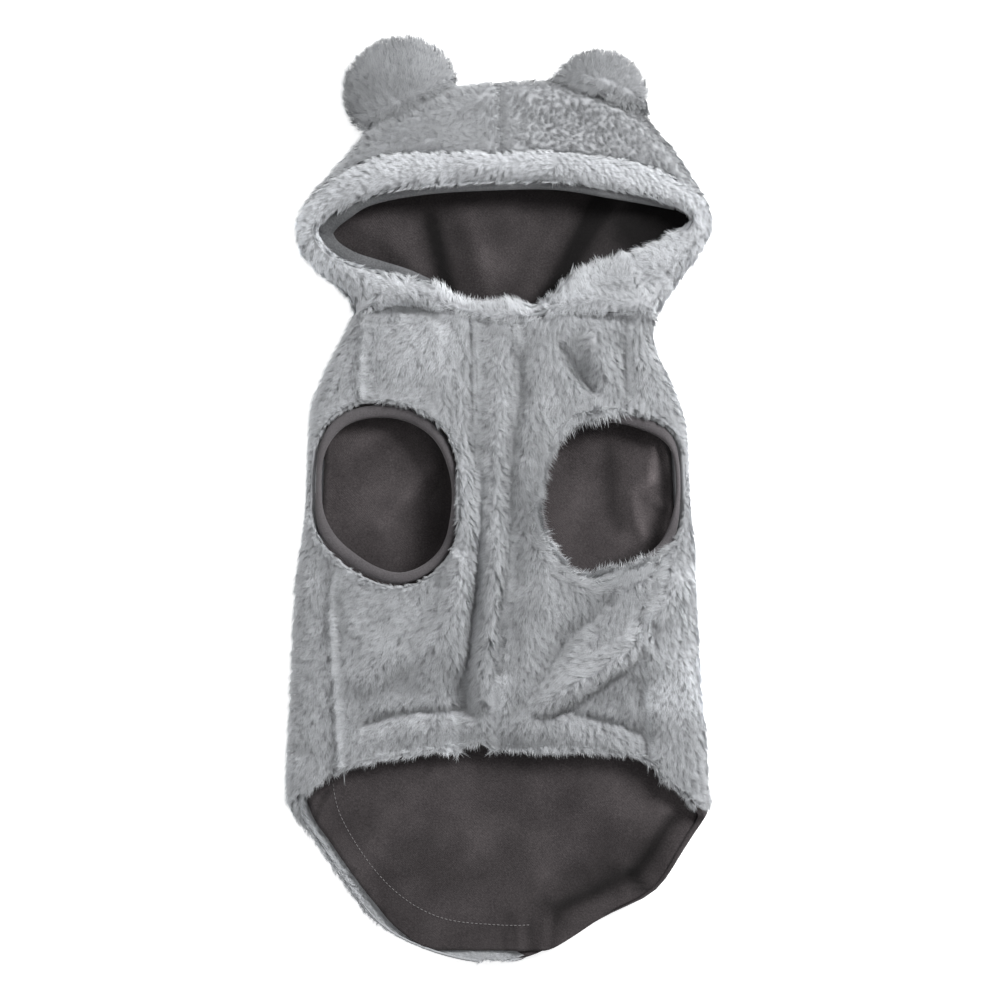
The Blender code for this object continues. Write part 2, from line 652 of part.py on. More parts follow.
def lining_edge(side, y):
    """How far the lining's edge lies inside the outline: never where the back's inner face is steep."""
    radius, wrap, edge_wall = (side_fold[side][column](y) for column in ("radius", "wrap", "wall"))
    wall_there = blend(PLUSH, edge_wall, 0.8)
    steep = math.radians(clamp(wrap - 5, -60, -32))
    curl = radius * math.cos(math.radians(min(wrap, 0))) - (radius - wall_there) * math.cos(steep)
    return max(lining_inset[side](y), curl)


def back_lining():
    """Seen through the armholes and on the tail. It lies on the back with its own soft wrinkles."""
    upper, lower = [], []
    for row in LINING_ROWS:
        y = row - SEAM / 2 if row == NECK_Y else row
        left, right = (outline_x[side](y) - side * lining_edge(side, y) for side in (LEFT, RIGHT))
        row_lower, row_upper = [], []
        for i in range(LINING_COLUMNS + 1):
            x = blend(left, right, i / LINING_COLUMNS)
            edge = ease(min(x - left, right - x) / 14)
            z = back_inner_height(x, y) + LINING_GAP + edge * relief(BACK_LINING_FOLDS, x, y)
            row_lower.append((x, y, z))
            row_upper.append((x, y, z + LINING))
        lower.append(row_lower)
        upper.append(row_upper)
    return wall("back_lining", upper, lower, LINING_COLOR)


def between(chain, x_start, x_end):
    """The part of a chain that runs across the coat from one x to the other, both of them its points."""
    low, high = min(x_start, x_end) - 0.01, max(x_start, x_end) + 0.01
    part = [point for point in chain if low <= point[0] <= high]
    return part if x_start < x_end else part[::-1]


def front_panel(side):
    """One side of the belly: neck, placket, hem, side seam, armhole and shoulder seam."""
    placket = curve_chain(PLACKET_LINE[side])
    neck, hem = resample(NECK_SEAM, PANEL_SPACING), resample(HEM, PANEL_SPACING)
    shoulder, seam = shoulder_chain(side), side_chain(side)
    outline = between(neck, shoulder[0][0], placket[0][0]) + placket[1:]
    outline += between(hem, placket[-1][0], seam[-1][0])[1:] + seam[::-1][1:]
    outline += armhole_arc(side, over_front=True)[::-1][1:] + shoulder[::-1][1:]
    return panel("front_left" if side == LEFT else "front_right", outline, PLUSH_COLOR)


def curve_chain(points):
    length = sum(math.dist(a, b) for a, b in zip(points, points[1:]))
    return [tuple(point) for point in curve_points(points, round(length / PANEL_SPACING) + 1)]


def placket():
    """The strip that laps over the front's opening, between the two fronts."""
    left, right = curve_chain(PLACKET_LINE[LEFT]), curve_chain(PLACKET_LINE[RIGHT])
    neck, hem = resample(NECK_SEAM, PANEL_SPACING), resample(HEM, PANEL_SPACING)
    outline = left + between(hem, left[-1][0], right[-1][0])[1:] + right[::-1][1:]
    outline += between(neck, right[0][0], left[0][0])[1:]
    return panel("placket", outline, PLUSH_COLOR)


def armhole_binding(side):
    """Knit tape round the armhole, a little under the plush that stands over its outer edge."""
    sections = []
    for i in range(36):
        inner, outer = armhole_point(side, i * 10, 0.0), armhole_point(side, i * 10, 1.0)
        width = math.dist(inner, outer)
        section = []
        for share, depth in ((0.0, 0.55), (0.25, 0.0), (0.72, 0.0), (1.0, 0.45), (0.75, 1.0), (0.25, 1.0)):
            share *= 1 - TAPE_GAP / width
            x, y = blend(inner[0], outer[0], share), blend(inner[1], outer[1], share)
            section.append(under_face(x, y, BINDING_DEPTH + depth * BINDING_THICK))
        sections.append(section)
    return ring("armhole_binding_left" if side == LEFT else "armhole_binding_right", sections, TAPE_COLOR)


# ---- the hood

HoodStation = namedtuple("HoodStation", "x y inward cover")
LEAST_COVER = 1.5  # of the hood's cloth past the middle of its side fold


def hood_stations(side, count, seam_x=0.0):
    """Places along the hood's outline, from the crown's middle to the neck, each with its inward direction."""
    points = curve_points(HOOD_EDGE[side][::-1], count)
    stations = []
    for i, (x, y, cover) in enumerate(points):
        if i == 0:
            inward = Vector((0, -1))
            x = seam_x
        elif i == count - 1:
            inward = Vector((-side, 0))
            y = NECK_Y + SEAM / 2
        else:
            run = Vector(points[i + 1][:2]) - Vector(points[i - 1][:2])
            inward = Vector((run.y, -run.x)).normalized() * side
        stations.append(HoodStation(x, y, inward, max(cover, LEAST_COVER)))
    return stations


def hood_point(station, along, depth):
    """Point of the hood's wall. along starts at the side fold's foot, and depth is in from the outer face."""
    arc = math.pi * HOOD_RADIUS
    if along < arc:
        angle = along / HOOD_RADIUS - math.pi / 2
        inside = HOOD_RADIUS - (HOOD_RADIUS - depth) * math.cos(angle)
        z = HOOD_RADIUS + (HOOD_RADIUS - depth) * math.sin(angle)
    else:
        inside = HOOD_RADIUS + along - arc
        z = 2 * HOOD_RADIUS + HOOD_RISE * ease((along - arc) / 42) - depth
    return (station.x + station.inward.x * inside, station.y + station.inward.y * inside, z)


def hood_section(station, pole_x, depth, end, bottom_steps, wall_steps, folds=()):
    """From the neck seam's middle out along the underside, round the side fold and in to the face band."""
    pole = (pole_x, NECK_Y + SEAM / 2, depth)
    foot = hood_point(station, 0.0, depth)
    section = [tuple(blend(a, b, i / bottom_steps) for a, b in zip(pole, foot)) for i in range(bottom_steps)]
    section = [(x, y, z + relief(folds, x, y) * ease(i * 2 / bottom_steps)) for i, (x, y, z) in enumerate(section)]
    round_steps = int(clamp(round(wall_steps * HALF_FOLD / end), 3, wall_steps - 1))
    for i in range(wall_steps + 1):
        along = min(end, HALF_FOLD) * i / round_steps
        if i > round_steps:
            along = blend(min(end, HALF_FOLD), end, (i - round_steps) / (wall_steps - round_steps))
        if end <= HALF_FOLD:
            along = end * i / wall_steps
        section.append(hood_point(station, along, depth))
    return section


HOOD_STATIONS = 16
HALF_FOLD = HOOD_RADIUS * math.pi / 2


def hood_half(side):
    """Half of the hood, from the seam over the crown's middle to the neck seam and the face band."""
    seam_x = side * SEAM / 2
    stations = hood_stations(side, HOOD_STATIONS, seam_x)
    grids = []
    for depth in (0.0, PLUSH):
        grids.append([
            hood_section(station, seam_x, depth, HALF_FOLD + station.cover, 3, 9) for station in stations
        ])
    return wall("hood_left" if side == LEFT else "hood_right", grids[0], grids[1], PLUSH_COLOR)


def hood_lining():
    """The hood's inside, in one piece, up to the band round the face."""
    stations = hood_stations(LEFT, HOOD_STATIONS)[::-1] + hood_stations(RIGHT, HOOD_STATIONS)[1:]
    grids = []
    for depth in (PLUSH + LINING_GAP + LINING, PLUSH + LINING_GAP):
        grid = []
        for station in stations:
            under_crown = ease((station.cover - 10) / 12)
            end = HALF_FOLD + blend(-4.0, station.cover - 3.0, under_crown)
            grid.append(hood_section(station, 0.0, depth, end, 5, 7, HOOD_LINING_FOLDS))
        grids.append(grid)
    return wall("hood_lining", grids[0], grids[1], LINING_COLOR)


def rim_seam():
    """The face band's seam: outer and inner points along the hood, then along the neck, round once."""
    seam = []

    def along_hood(side, stations):
        for station in stations:
            end = HALF_FOLD + station.cover + SEAM + 0.4
            seam.append((hood_point(station, end, 0.0), hood_point(station, end, PLUSH)))

    def along_neck(side, backwards):
        outer, inner = fold_sections(side, NECK_Y, 3, from_middle=True)
        pairs = list(zip(outer, inner))[1:]
        for a, b in pairs[::-1] if backwards else pairs:
            seam.append(((a[0], NECK_Y + SEAM / 2, a[2]), (b[0], NECK_Y + SEAM / 2, b[2])))

    along_hood(LEFT, hood_stations(LEFT, HOOD_STATIONS))
    along_neck(LEFT, backwards=False)
    for x, y in resample(NECK_SEAM, PANEL_SPACING)[1:-1]:
        outer, inner = (x, y, belly_height(x, y)), under_face(x, y, PLUSH)
        seam.append(((outer[0], y + SEAM, outer[2]), (inner[0], y + SEAM, inner[2])))
    along_neck(RIGHT, backwards=True)
    along_hood(RIGHT, hood_stations(RIGHT, HOOD_STATIONS)[::-1][:-1])
    return seam


def hood_brim():
    """The band round the face: sewn to the hood and the neck, rolled over, with a soft open edge."""
    seam = rim_seam()
    plan = [Vector(outer[:2]) for outer, _ in seam]
    length = [0.0]
    for a, b in zip(plan, plan[1:] + plan[:1]):
        length.append(length[-1] + (b - a).length)
    placed = []
    for row in RIM_EDGE:
        nearest = min(range(len(plan)), key=lambda i: (plan[i] - Vector((row.seam_x, row.seam_y))).length)
        placed.append((length[nearest], row))
    tips = [Tip(at + turn * length[-1], row.x, row.y, row.z) for turn in (-1, 0, 1) for at, row in placed]
    tip_x, tip_y, tip_z = (smooth(tips, "at", column) for column in ("x", "y", "z"))
    sections = []
    for (outer, inner), at in zip(seam, length):
        outer, inner = Vector(outer), Vector(inner)
        tip = Vector((tip_x(at), tip_y(at), tip_z(at)))
        back = (outer - tip)
        back.z = 0
        reach = back.length
        back.normalize()
        over = tip + back * min(2.0, reach / 3) + Vector((0, 0, RIM_TIP))
        under = tip + back * min(2.0, reach / 3) - Vector((0, 0, RIM_TIP))
        section = [outer]
        for share in (0.25, 0.55, 0.82):
            point = outer.lerp(over, share)
            bulge = RIM_BULGE * min(reach / 16, 1.2) * math.sin(math.pi * share)
            section.append(point + Vector((0, 0, bulge + relief(RIM_FOLDS, point.x, point.y))))
        section += [over, tip, under, inner.lerp(under, 0.5), inner]
        sections.append([tuple(point) for point in section])
    return ring("hood_brim", sections, PLUSH_COLOR)


Tip = namedtuple("Tip", "at x y z")


def ear(shape):
    """A round, softly filled ear. Its base is hollowed to sit on the crown's fold, a seam away."""
    start, end = Vector(shape.start), Vector(shape.end)
    along = (end - start).normalized()
    out = Vector((-along.y, along.x))
    middle = (start + end) / 2 + out * shape.stand_off
    crown = [Vector((row.x, row.y)) - middle for side in (LEFT, RIGHT) for row in hood_stations(side, HOOD_STATIONS)]
    crown = sorted({(round(point.dot(along), 3), point.dot(out)) for point in crown if point.y > -70})
    crown_along, crown_out = zip(*crown)
    build = bmesh.new()
    bmesh.ops.create_uvsphere(build, u_segments=24, v_segments=12, radius=1.0)
    for vertex in build.verts:
        wide, far, high = vertex.co
        flatter = 1 - 0.18 * abs(far) ** 3
        z = EAR_MIDDLE_Z + high * EAR_THICK / 2 * flatter
        recess = HOOD_RADIUS - math.sqrt(max(HOOD_RADIUS**2 - (z - HOOD_RADIUS) ** 2, 0))
        floor = float(np.interp(wide * shape.half_width, crown_along, crown_out)) + SEAM + 0.3 - recess
        above = math.log1p(math.exp((far * shape.half_length - floor) / EAR_BASE_ROUND)) * EAR_BASE_ROUND
        place = middle + along * wide * shape.half_width + out * (floor + above)
        vertex.co = (Vector((place.x, place.y, z)) - Vector(COAT_MIDDLE)) * MM
    bmesh.ops.triangulate(build, faces=build.faces)
    bmesh.ops.recalc_face_normals(build, faces=build.faces)
    mesh = bpy.data.meshes.new(shape.name)
    build.to_mesh(mesh)
    build.free()
    mesh.shade_smooth()
    mesh.materials.append(cloth_material(shape.name, PLUSH_COLOR, 0.95))
    piece = bpy.data.objects.new(shape.name, mesh)
    coat.objects.link(piece)
    return piece


# Linear colours of the cloths
PLUSH_COLOR = (0.33, 0.335, 0.345)
LINING_COLOR = (0.058, 0.053, 0.055)
TAPE_COLOR = (0.105, 0.1, 0.105)

for old in list(bpy.data.objects):
    bpy.data.objects.remove(old, do_unlink=True)
coat = bpy.data.collections.new("hooded_dog_coat")
bpy.context.scene.collection.children.link(coat)

back_panel()
back_lining()
for hand in (LEFT, RIGHT):
    front_panel(hand)
    armhole_binding(hand)
    hood_half(hand)
placket()
hood_lining()
hood_brim()
for lobe in EARS:
    ear(lobe)

for piece in coat.objects:
    size = [1000 * side for side in piece.dimensions]
    print(f"{piece.name}: {len(piece.data.polygons)} triangles, {size[0]:.0f} x {size[1]:.0f} x {size[2]:.0f} mm")
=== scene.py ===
# %% [markdown]
# # A plush dog coat, laid flat
#
# The coat is a hooded vest for a dog, cut from grey plush with a dark fleece lining. It lies on its back,
# so its belly side faces up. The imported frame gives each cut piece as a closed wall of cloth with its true
# shape. These cells turn the walls into cloth: a thin backing with pile that stands on it, a fleece lining,
# and knit tape round the armholes. Lengths are in metres, and a length written as `4 * MM` is 4 mm. Places
# on the plan are listed in millimetres, x to the right and y towards the hood.

# %% Start
import math

import bmesh
import bpy
import numpy as np
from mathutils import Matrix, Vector, noise
from mathutils.bvhtree import BVHTree


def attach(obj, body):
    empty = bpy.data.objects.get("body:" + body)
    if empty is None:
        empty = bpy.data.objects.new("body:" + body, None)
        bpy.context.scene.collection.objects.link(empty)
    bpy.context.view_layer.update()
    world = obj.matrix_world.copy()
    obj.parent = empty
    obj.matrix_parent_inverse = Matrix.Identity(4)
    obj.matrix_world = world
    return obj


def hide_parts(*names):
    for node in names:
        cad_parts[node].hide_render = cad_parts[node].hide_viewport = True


MM = 0.001
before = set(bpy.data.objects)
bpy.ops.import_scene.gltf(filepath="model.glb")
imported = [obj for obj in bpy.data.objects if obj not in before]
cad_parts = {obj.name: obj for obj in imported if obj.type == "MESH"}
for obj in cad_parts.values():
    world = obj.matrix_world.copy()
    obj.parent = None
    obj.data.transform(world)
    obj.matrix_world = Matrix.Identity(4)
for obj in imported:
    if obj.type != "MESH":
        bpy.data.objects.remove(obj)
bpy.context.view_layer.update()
print("The frame's nodes:", ", ".join(sorted(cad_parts)))


# %% [markdown]
# ## Colours and nodes
#
# The cloth's colours are written as they look on a screen, and Blender needs them linear, so one function
# turns them over. Another adds any shader or geometry node with its settings and its links, so a material
# reads as a short list of what feeds what. A node that is given as an input stands for its first output.


# %% Colour and node helpers
def linear(hex_color):
    """A screen colour such as "c0c4c8" as linear red, green, blue and alpha."""
    channels = [int(hex_color[i:i + 2], 16) / 255 for i in (0, 2, 4)]
    return tuple(c / 12.92 if c <= 0.04045 else ((c + 0.055) / 1.055) ** 2.4 for c in channels) + (1.0,)


def connect(tree, node, inputs):
    """Sets a node's inputs to values, or links them to sockets or to other nodes' first outputs."""
    for key, value in inputs.items():
        if isinstance(value, bpy.types.Node):
            value = next(output for output in value.outputs if output.enabled)
        if isinstance(value, bpy.types.NodeSocket):
            tree.links.new(value, node.inputs[key])
        else:
            node.inputs[key].default_value = value


def add(tree, kind, inputs=None, stops=(), **settings):
    """A node of a kind. Settings are its properties, and stops are a ramp's positions and hex colours."""
    node = tree.nodes.new(kind)
    for name, value in settings.items():
        setattr(node, name, value)
    for _ in stops[2:]:
        node.color_ramp.elements.new(0.5)
    for i, (position, hex_color) in enumerate(stops):
        node.color_ramp.elements[i].position = position
        node.color_ramp.elements[i].color = linear(hex_color)
    connect(tree, node, inputs or {})
    return node


def new_material(name):
    """A material, its node tree, and the shader at the tree's end."""
    material = bpy.data.materials.new(name)
    material.use_nodes = True
    return material, material.node_tree, material.node_tree.nodes["Principled BSDF"]


print(f"Middle grey on a screen is {linear('808080')[0]:.3f} in linear light")


# %% [markdown]
# ## Materials
#
# Plush is cut-pile knit: fine polyester fibres stand on a knitted backing. Light gets lost between the
# fibres, so the roots are dark and the tips are pale. Fleece is a knit that is brushed until it's matt,
# with a fine grain. The armhole tape is a plain rib knit, folded over the raw edge. A noise's scale is the
# number of its cells in a metre, so `1 // size` works it out from the size of one cell.


# %% Cloth materials
STROKE = 18 * MM  # patches where the pile was brushed one way
LOOP = 0.714 * MM  # the backing's knitted loops
MOTTLE = 29 * MM  # patches where the fleece was brushed more or less
GRAIN = 0.909 * MM  # the fleece's fibres, drawn this coarse because real ones are too fine to show
ROWS = 420  # a wave's scale, for diagonal rows of loops 1.06 mm apart


def plush_pile():
    """Polyester pile: soft sheen, dark at the root, pale at the tip, each tuft a little different."""
    material, tree, shader = new_material("Plush pile, grey polyester fibres")
    point = add(tree, "ShaderNodeTexCoord").outputs["Object"]
    along = add(tree, "ShaderNodeAttribute", attribute_name="along").outputs["Fac"]
    # Each tuft's own grey, times the painted light and shade stored on the cloth's points
    tone = add(tree, "ShaderNodeAttribute", attribute_name="tone").outputs["Fac"]
    # Painted shade: the ramp darkens the roots, where light gets lost between the fibres, and leaves the tips
    # pale
    stops = [(0.0, "95979b"), (0.45, "b2b4b7"), (1.0, "cccfd2")]
    base = add(tree, "ShaderNodeValToRGB", {"Fac": along}, stops)
    patches = add(tree, "ShaderNodeTexNoise", {"Vector": point, "Scale": 1 // STROKE, "Detail": 3})
    limits = {"From Min": 0.3, "From Max": 0.7, "To Min": 0.86, "To Max": 1.08}
    patch = add(tree, "ShaderNodeMapRange", {"Value": patches, **limits})
    shade = add(tree, "ShaderNodeMath", {0: tone, 1: patch}, operation="MULTIPLY")
    color = add(tree, "ShaderNodeVectorMath", {0: base, "Scale": shade}, operation="SCALE")
    connect(tree, shader, {"Base Color": color, "Roughness": 0.85, "Sheen Weight": 0.25,
                           "Specular IOR Level": 0.15})
    return material


def plush_backing():
    """The knit ground under the pile, matt and plain, seen only where the pile parts."""
    material, tree, shader = new_material("Plush backing, grey knit")
    point = add(tree, "ShaderNodeTexCoord").outputs["Object"]
    grain = add(tree, "ShaderNodeTexNoise", {"Vector": point, "Scale": 1 // LOOP, "Detail": 2})
    color = add(tree, "ShaderNodeValToRGB", {"Fac": grain}, [(0.3, "9a9c9f"), (0.7, "acaeb1")])
    connect(tree, shader, {"Base Color": color, "Roughness": 0.95})
    return material


def fleece(name, dark, middle, pale):
    """Brushed knit: matt, with a fine grain in colour and bump, and mottled where it's brushed unevenly."""
    material, tree, shader = new_material(name)
    point = add(tree, "ShaderNodeTexCoord").outputs["Object"]
    mottle = add(tree, "ShaderNodeTexNoise", {"Vector": point, "Scale": 1 // MOTTLE, "Detail": 3})
    grain = add(tree, "ShaderNodeTexNoise",
                {"Vector": point, "Scale": 1 // GRAIN, "Detail": 3, "Roughness": 0.75})
    rows = add(tree, "ShaderNodeTexWave", {"Vector": point, "Scale": ROWS, "Distortion": 2.5, "Detail": 1.0},
               bands_direction="DIAGONAL").outputs["Fac"]
    mixed = add(tree, "ShaderNodeMath", {0: mottle, 1: 0.4}, operation="MULTIPLY")
    mixed = add(tree, "ShaderNodeMath", {0: grain, 1: 0.6, 2: mixed}, operation="MULTIPLY_ADD")
    color = add(tree, "ShaderNodeValToRGB", {"Fac": mixed}, [(0.36, dark), (0.5, middle), (0.66, pale)])
    # The colour's gain, stored on the points, paints light and shade
    tint = add(tree, "ShaderNodeAttribute", attribute_name="tint").outputs["Fac"]
    painted_color = add(tree, "ShaderNodeVectorMath", {0: color, "Scale": tint}, operation="SCALE")
    height = add(tree, "ShaderNodeMath", {0: rows, 1: 0.35, 2: grain}, operation="MULTIPLY_ADD")
    bump = add(tree, "ShaderNodeBump", {"Strength": 0.5, "Distance": 0.4 * MM, "Height": height})
    connect(tree, shader, {"Base Color": painted_color, "Normal": bump, "Roughness": 0.95, "Sheen Weight": 0.12,
                           "Specular IOR Level": 0.15})
    return material


PILE = plush_pile()
BACKING = plush_backing()
LINING = fleece("Fleece lining, dark brushed knit", "2e2a2b", "3e3a3b", "514c4d")
TAPE = fleece("Armhole tape, dark rib knit", "4a4749", "575456", "646163")
FACING = fleece("Hood facing, grey plush knit's wrong side", "4c4d4f", "5f6062", "737476")
print("Materials:", ", ".join(material.name for material in bpy.data.materials))


# %% [markdown]
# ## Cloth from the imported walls
#
# A packed wall is as thick as the plush with its pile, and its mesh is loose triangles. Each wall is copied
# and its points are merged, and then Subdivision Surface rounds its facets off. Where the cloth was cut,
# the wall has an edge that is sharper than any fold, and a crease on that edge keeps it so. What a modifier
# makes is kept as a plain mesh, so the next step can move its points.


# %% Walls as one surface
EDGE_ANGLE = math.radians(48)  # a wall's cut edge is sharper than this, and a fold is softer


def placed(name, data):
    """A new object in the scene, with a mesh, a light or a camera."""
    thing = bpy.data.objects.new(name, data)
    bpy.context.scene.collection.objects.link(thing)
    return thing


def merged_copy(node, name):
    """A node's mesh as one connected surface of mostly four-sided faces, in a new object."""
    build = bmesh.new()
    build.from_mesh(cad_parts[node].data)
    bmesh.ops.remove_doubles(build, verts=build.verts, dist=0.01 * MM)
    bmesh.ops.recalc_face_normals(build, faces=build.faces)
    anything_joins = dict.fromkeys(("cmp_seam", "cmp_sharp", "cmp_uvs", "cmp_vcols", "cmp_materials"), False)
    bmesh.ops.join_triangles(build, faces=build.faces, angle_face_threshold=0.6, angle_shape_threshold=0.9,
                             **anything_joins)
    crease = build.edges.layers.float.new("crease_edge")
    for edge in build.edges:
        edge[crease] = float(edge.calc_face_angle(0) > EDGE_ANGLE)
    mesh = bpy.data.meshes.new(name)
    build.to_mesh(mesh)
    build.free()
    mesh.materials.clear()
    return placed(name, mesh)


def applied(piece):
    """The piece with its modifiers turned into a plain mesh."""
    depsgraph = bpy.context.evaluated_depsgraph_get()
    mesh = bpy.data.meshes.new_from_object(piece.evaluated_get(depsgraph), depsgraph=depsgraph)
    piece.modifiers.clear()
    old, piece.data = piece.data, mesh
    bpy.data.meshes.remove(old)
    mesh.name = piece.name
    return piece


print(f"Edges over {math.degrees(EDGE_ANGLE):.0f} degrees stay sharp")


# %% [markdown]
# ## Creases
#
# Cloth that lies loose has soft troughs and ridges that are too small for the solids. A cloth simulation
# would make some, but not these ones, so each is a row in a table: its path on the plan, its width and
# height in mm, and a gain of the colour that paints light and shade there. A trough is painted darker,
# because light gets lost in it, ridges are mostly painted paler, and rows without height paint only shade.
# What a crease adds fades from its path outwards, along a bell curve.


# %% Creases
CREASE_REACH = 2.5  # widths from its path, where a crease ends


def nearest_on(path, x, y):
    """The spot of a path on the plan that is nearest to a point, and how far it is."""
    best = (1e9, path[0])
    for (x0, y0), (x1, y1) in zip(path, path[1:]):
        run = (x1 - x0) ** 2 + (y1 - y0) ** 2
        share = min(max(((x - x0) * (x1 - x0) + (y - y0) * (y1 - y0)) / run, 0), 1)
        spot = (x0 + share * (x1 - x0), y0 + share * (y1 - y0))
        best = min(best, (math.hypot(x - spot[0], y - spot[1]), spot))
    return best[1], best[0]


def fade(away, width):
    """1 at a place, 0.37 at a width from it, and next to nothing at twice that."""
    return math.exp(-((away / width) ** 2))


def crease_at(creases, x, y):
    """What creases add at a point on the plan: height in metres, and gain of the colour as painted light and
    shade.
    """
    height = gain = 0.0
    for path, width, tall, shade in creases:
        away = nearest_on(path, x, y)[1]
        if away < CREASE_REACH * width:
            near = fade(away, width)
            height += tall * near * MM
            gain += shade * near
    return height, gain


def spots_at(spots, x, y):
    """Gain of the colour from round spots of painted light and shade: place, radius, gain."""
    return sum(gain * math.exp(-((x - at_x) ** 2 + (y - at_y) ** 2) / radius**2)
               for at_x, at_y, radius, gain in spots)


# Each row has a path on the plan, a width and a height, all in mm, and the gain of the colour, which paints
# light and shade
PLUSH_CREASES = [
    ([(-12, 12), (-11, -16), (-12, -36), (-15, -56), (-17, -72), (-18, -92), (-19, -112), (-17, -127)],
     4, -3, -0.14),
    ([(-17, 98), (-18, 80), (-17, 46), (-14, 20)], 3, -1.5, -0.24),
    ([(-30, 72), (-26, 50)], 3, -1.5, -0.13),
    ([(-25, 92), (-24, 74)], 2.5, -1.2, -0.1),
    ([(10, 86), (12, 64), (9, 46), (6, 16), (5, -8)], 4.5, -2, -0.24),
    ([(6, -14), (5, -32), (3, -52), (1, -72), (0, -92), (-1, -103)], 1.9, -2.5, -0.42),
    ([(10, -36), (9, -70), (8, -100)], 6, -1.2, -0.1),
    ([(2, -106), (3, -138)], 3, 1.5, 0.32),
    ([(-4, 0), (-6, -40), (-8, -80), (-9, -118)], 4, 2.5, 0.03),
    ([(-20, 14), (-19, -20), (-24, -50), (-28, -70), (-38, -84), (-50, -92), (-68, -98), (-80, -106)],
     7, 3.5, 0.12),
    ([(-30, -112), (-48, -110), (-70, -114), (-84, -118)], 8, -1.5, -0.12),
    ([(-30, -104), (-22, -118)], 6, -1.5, -0.12),
    ([(-80, -135), (-66, -128), (-46, -126), (-22, -125)], 3, -2.5, -0.42),
    ([(-127, -148), (-114, -152)], 3, -1.2, -0.2),
    ([(-80, -144), (-50, -136), (-20, -135)], 5, 1.2, 0.03),
    ([(-104, -40), (-98, -62), (-94, -80)], 7, -1.5, -0.08),
    ([(27, -34), (26, -62)], 7, 2.5, 0.06),
    ([(62, -60), (54, -72), (40, -80), (30, -98), (22, -108)], 6, -3, -0.18),
    ([(108, -50), (90, -76), (70, -96), (50, -108), (30, -120), (14, -136)], 6.5, 5, 0.12),
    ([(106, -60), (97, -76), (81, -97), (65, -109), (50, -119), (34, -130)], 3, -3.5, -0.34),
    ([(92, -104), (72, -118), (54, -124)], 8, -1, -0.13),
    ([(22, -129), (40, -127), (54, -130), (74, -135), (82, -139)], 3, -2.5, -0.4),
    ([(80, -106), (83, -130), (87, -146), (90, -158)], 1.9, -1.2, -0.18),
    ([(92, -142), (106, -142)], 2, -1, -0.15),
    ([(26, -139), (60, -141), (84, -151)], 5, 1.2, 0.03),
    ([(37, 91), (43, 80), (50, 71), (56, 65)], 2.8, -3, -0.46),
    ([(15, 84), (16, 60)], 6, -1, -0.1),
    ([(56, 94), (62, 80)], 7, 3.5, 0.06),
    ([(74, 92), (75, 74), (77, 62)], 2.8, -2, -0.24),
    ([(-80, 98), (-80, 62)], 2, -0.8, -0.08),
    ([(-84, 90), (-83, 62)], 1.7, 0.6, 0.08),
    ([(-86, 115), (-64, 112), (-48, 113), (-38, 110)], 5, -2.5, -0.36),
    ([(48, 111), (66, 108), (88, 107)], 3.5, -2, -0.28),
]
CROWN_CREASES = [
    ([(-90, 198), (-60, 205), (-38, 207)], 3.5, -1.5, -0.18),
    ([(-38, 207), (0, 209), (40, 209), (72, 204), (102, 196)], 2.6, -1, -0.1),
    ([(0, 206), (0, 250)], 3.5, 0.8, 0.09),
]
BRIM_CREASES = [
    ([(58, 127), (84, 125), (104, 135)], 3.5, -2, -0.14),
    ([(-94, 174), (-105, 168), (-110, 160), (-105, 149), (-90, 142), (-72, 137), (-56, 134), (-40, 129)],
     3, 0, -0.2),
]
LINING_CREASES = [
    ([(98, -188), (86, -203), (71, -218)], 5, 3.2, 0),
    ([(103, -192), (92, -207), (79, -222), (86, -232)], 4.2, 0, -0.6),
    ([(84, -206), (50, -232), (34, -246)], 14, 0, -0.22),
    ([(72, -216), (54, -229), (32, -238)], 5.5, 3.4, 0.06),
    ([(76, -223), (56, -236), (35, -245)], 4.4, 0, -0.4),
    ([(22, -224), (58, -228)], 12, 0, -0.2),
    ([(60, -242), (42, -252)], 4, 2.2, 0.05),
    ([(26, -227), (20, -237), (10, -247)], 5, 2.4, 0.16),
    ([(62, -178), (70, -194)], 12, 1.5, 0),
    ([(-52, -176), (-24, -214)], 20, 1.5, 0.08),
    ([(3, -256), (4, -268)], 2.2, 0, -0.24),
    ([(11, -255), (12, -268)], 3, 1.6, 0.05),
    ([(19, -252), (20, -268)], 2.4, 0, -0.3),
    ([(27, -250), (26, -266)], 3, 1.6, 0.05),
    ([(34, -250), (31, -266)], 2.4, 0, -0.24),
    ([(-95, 23), (-78, 36), (-63, 43)], 5, 2.4, 0.24),
    ([(-72, -17), (-56, 2), (-40, 20)], 5, 2.6, 0.24),
    ([(-35, 36), (-33, 10), (-35, -20)], 8, 0, -0.5),
    ([(66, 31), (67, 14), (68, -4), (72, -14)], 5.5, 0, -0.55),
    ([(93, 34), (91, 12)], 3, 3.4, 0.6),
    ([(91, 12), (80, 4), (82, -8), (86, -21)], 3.2, 3.2, 0.5),
    ([(88, 4), (100, -4)], 2.8, 2.2, 0.1),
    ([(101, 14), (98, -8), (90, -30), (70, -40)], 5, 0, -0.6),
    ([(-104, -176), (-108, -184), (-111, -192)], 1.8, 0, -0.45),
    ([(-109, -178), (-113, -188)], 2, 1, 0.15),
    ([(-100, -186), (-78, -216), (-58, -241), (-36, -251), (-10, -255)], 2.6, -0.3, -0.12),
]
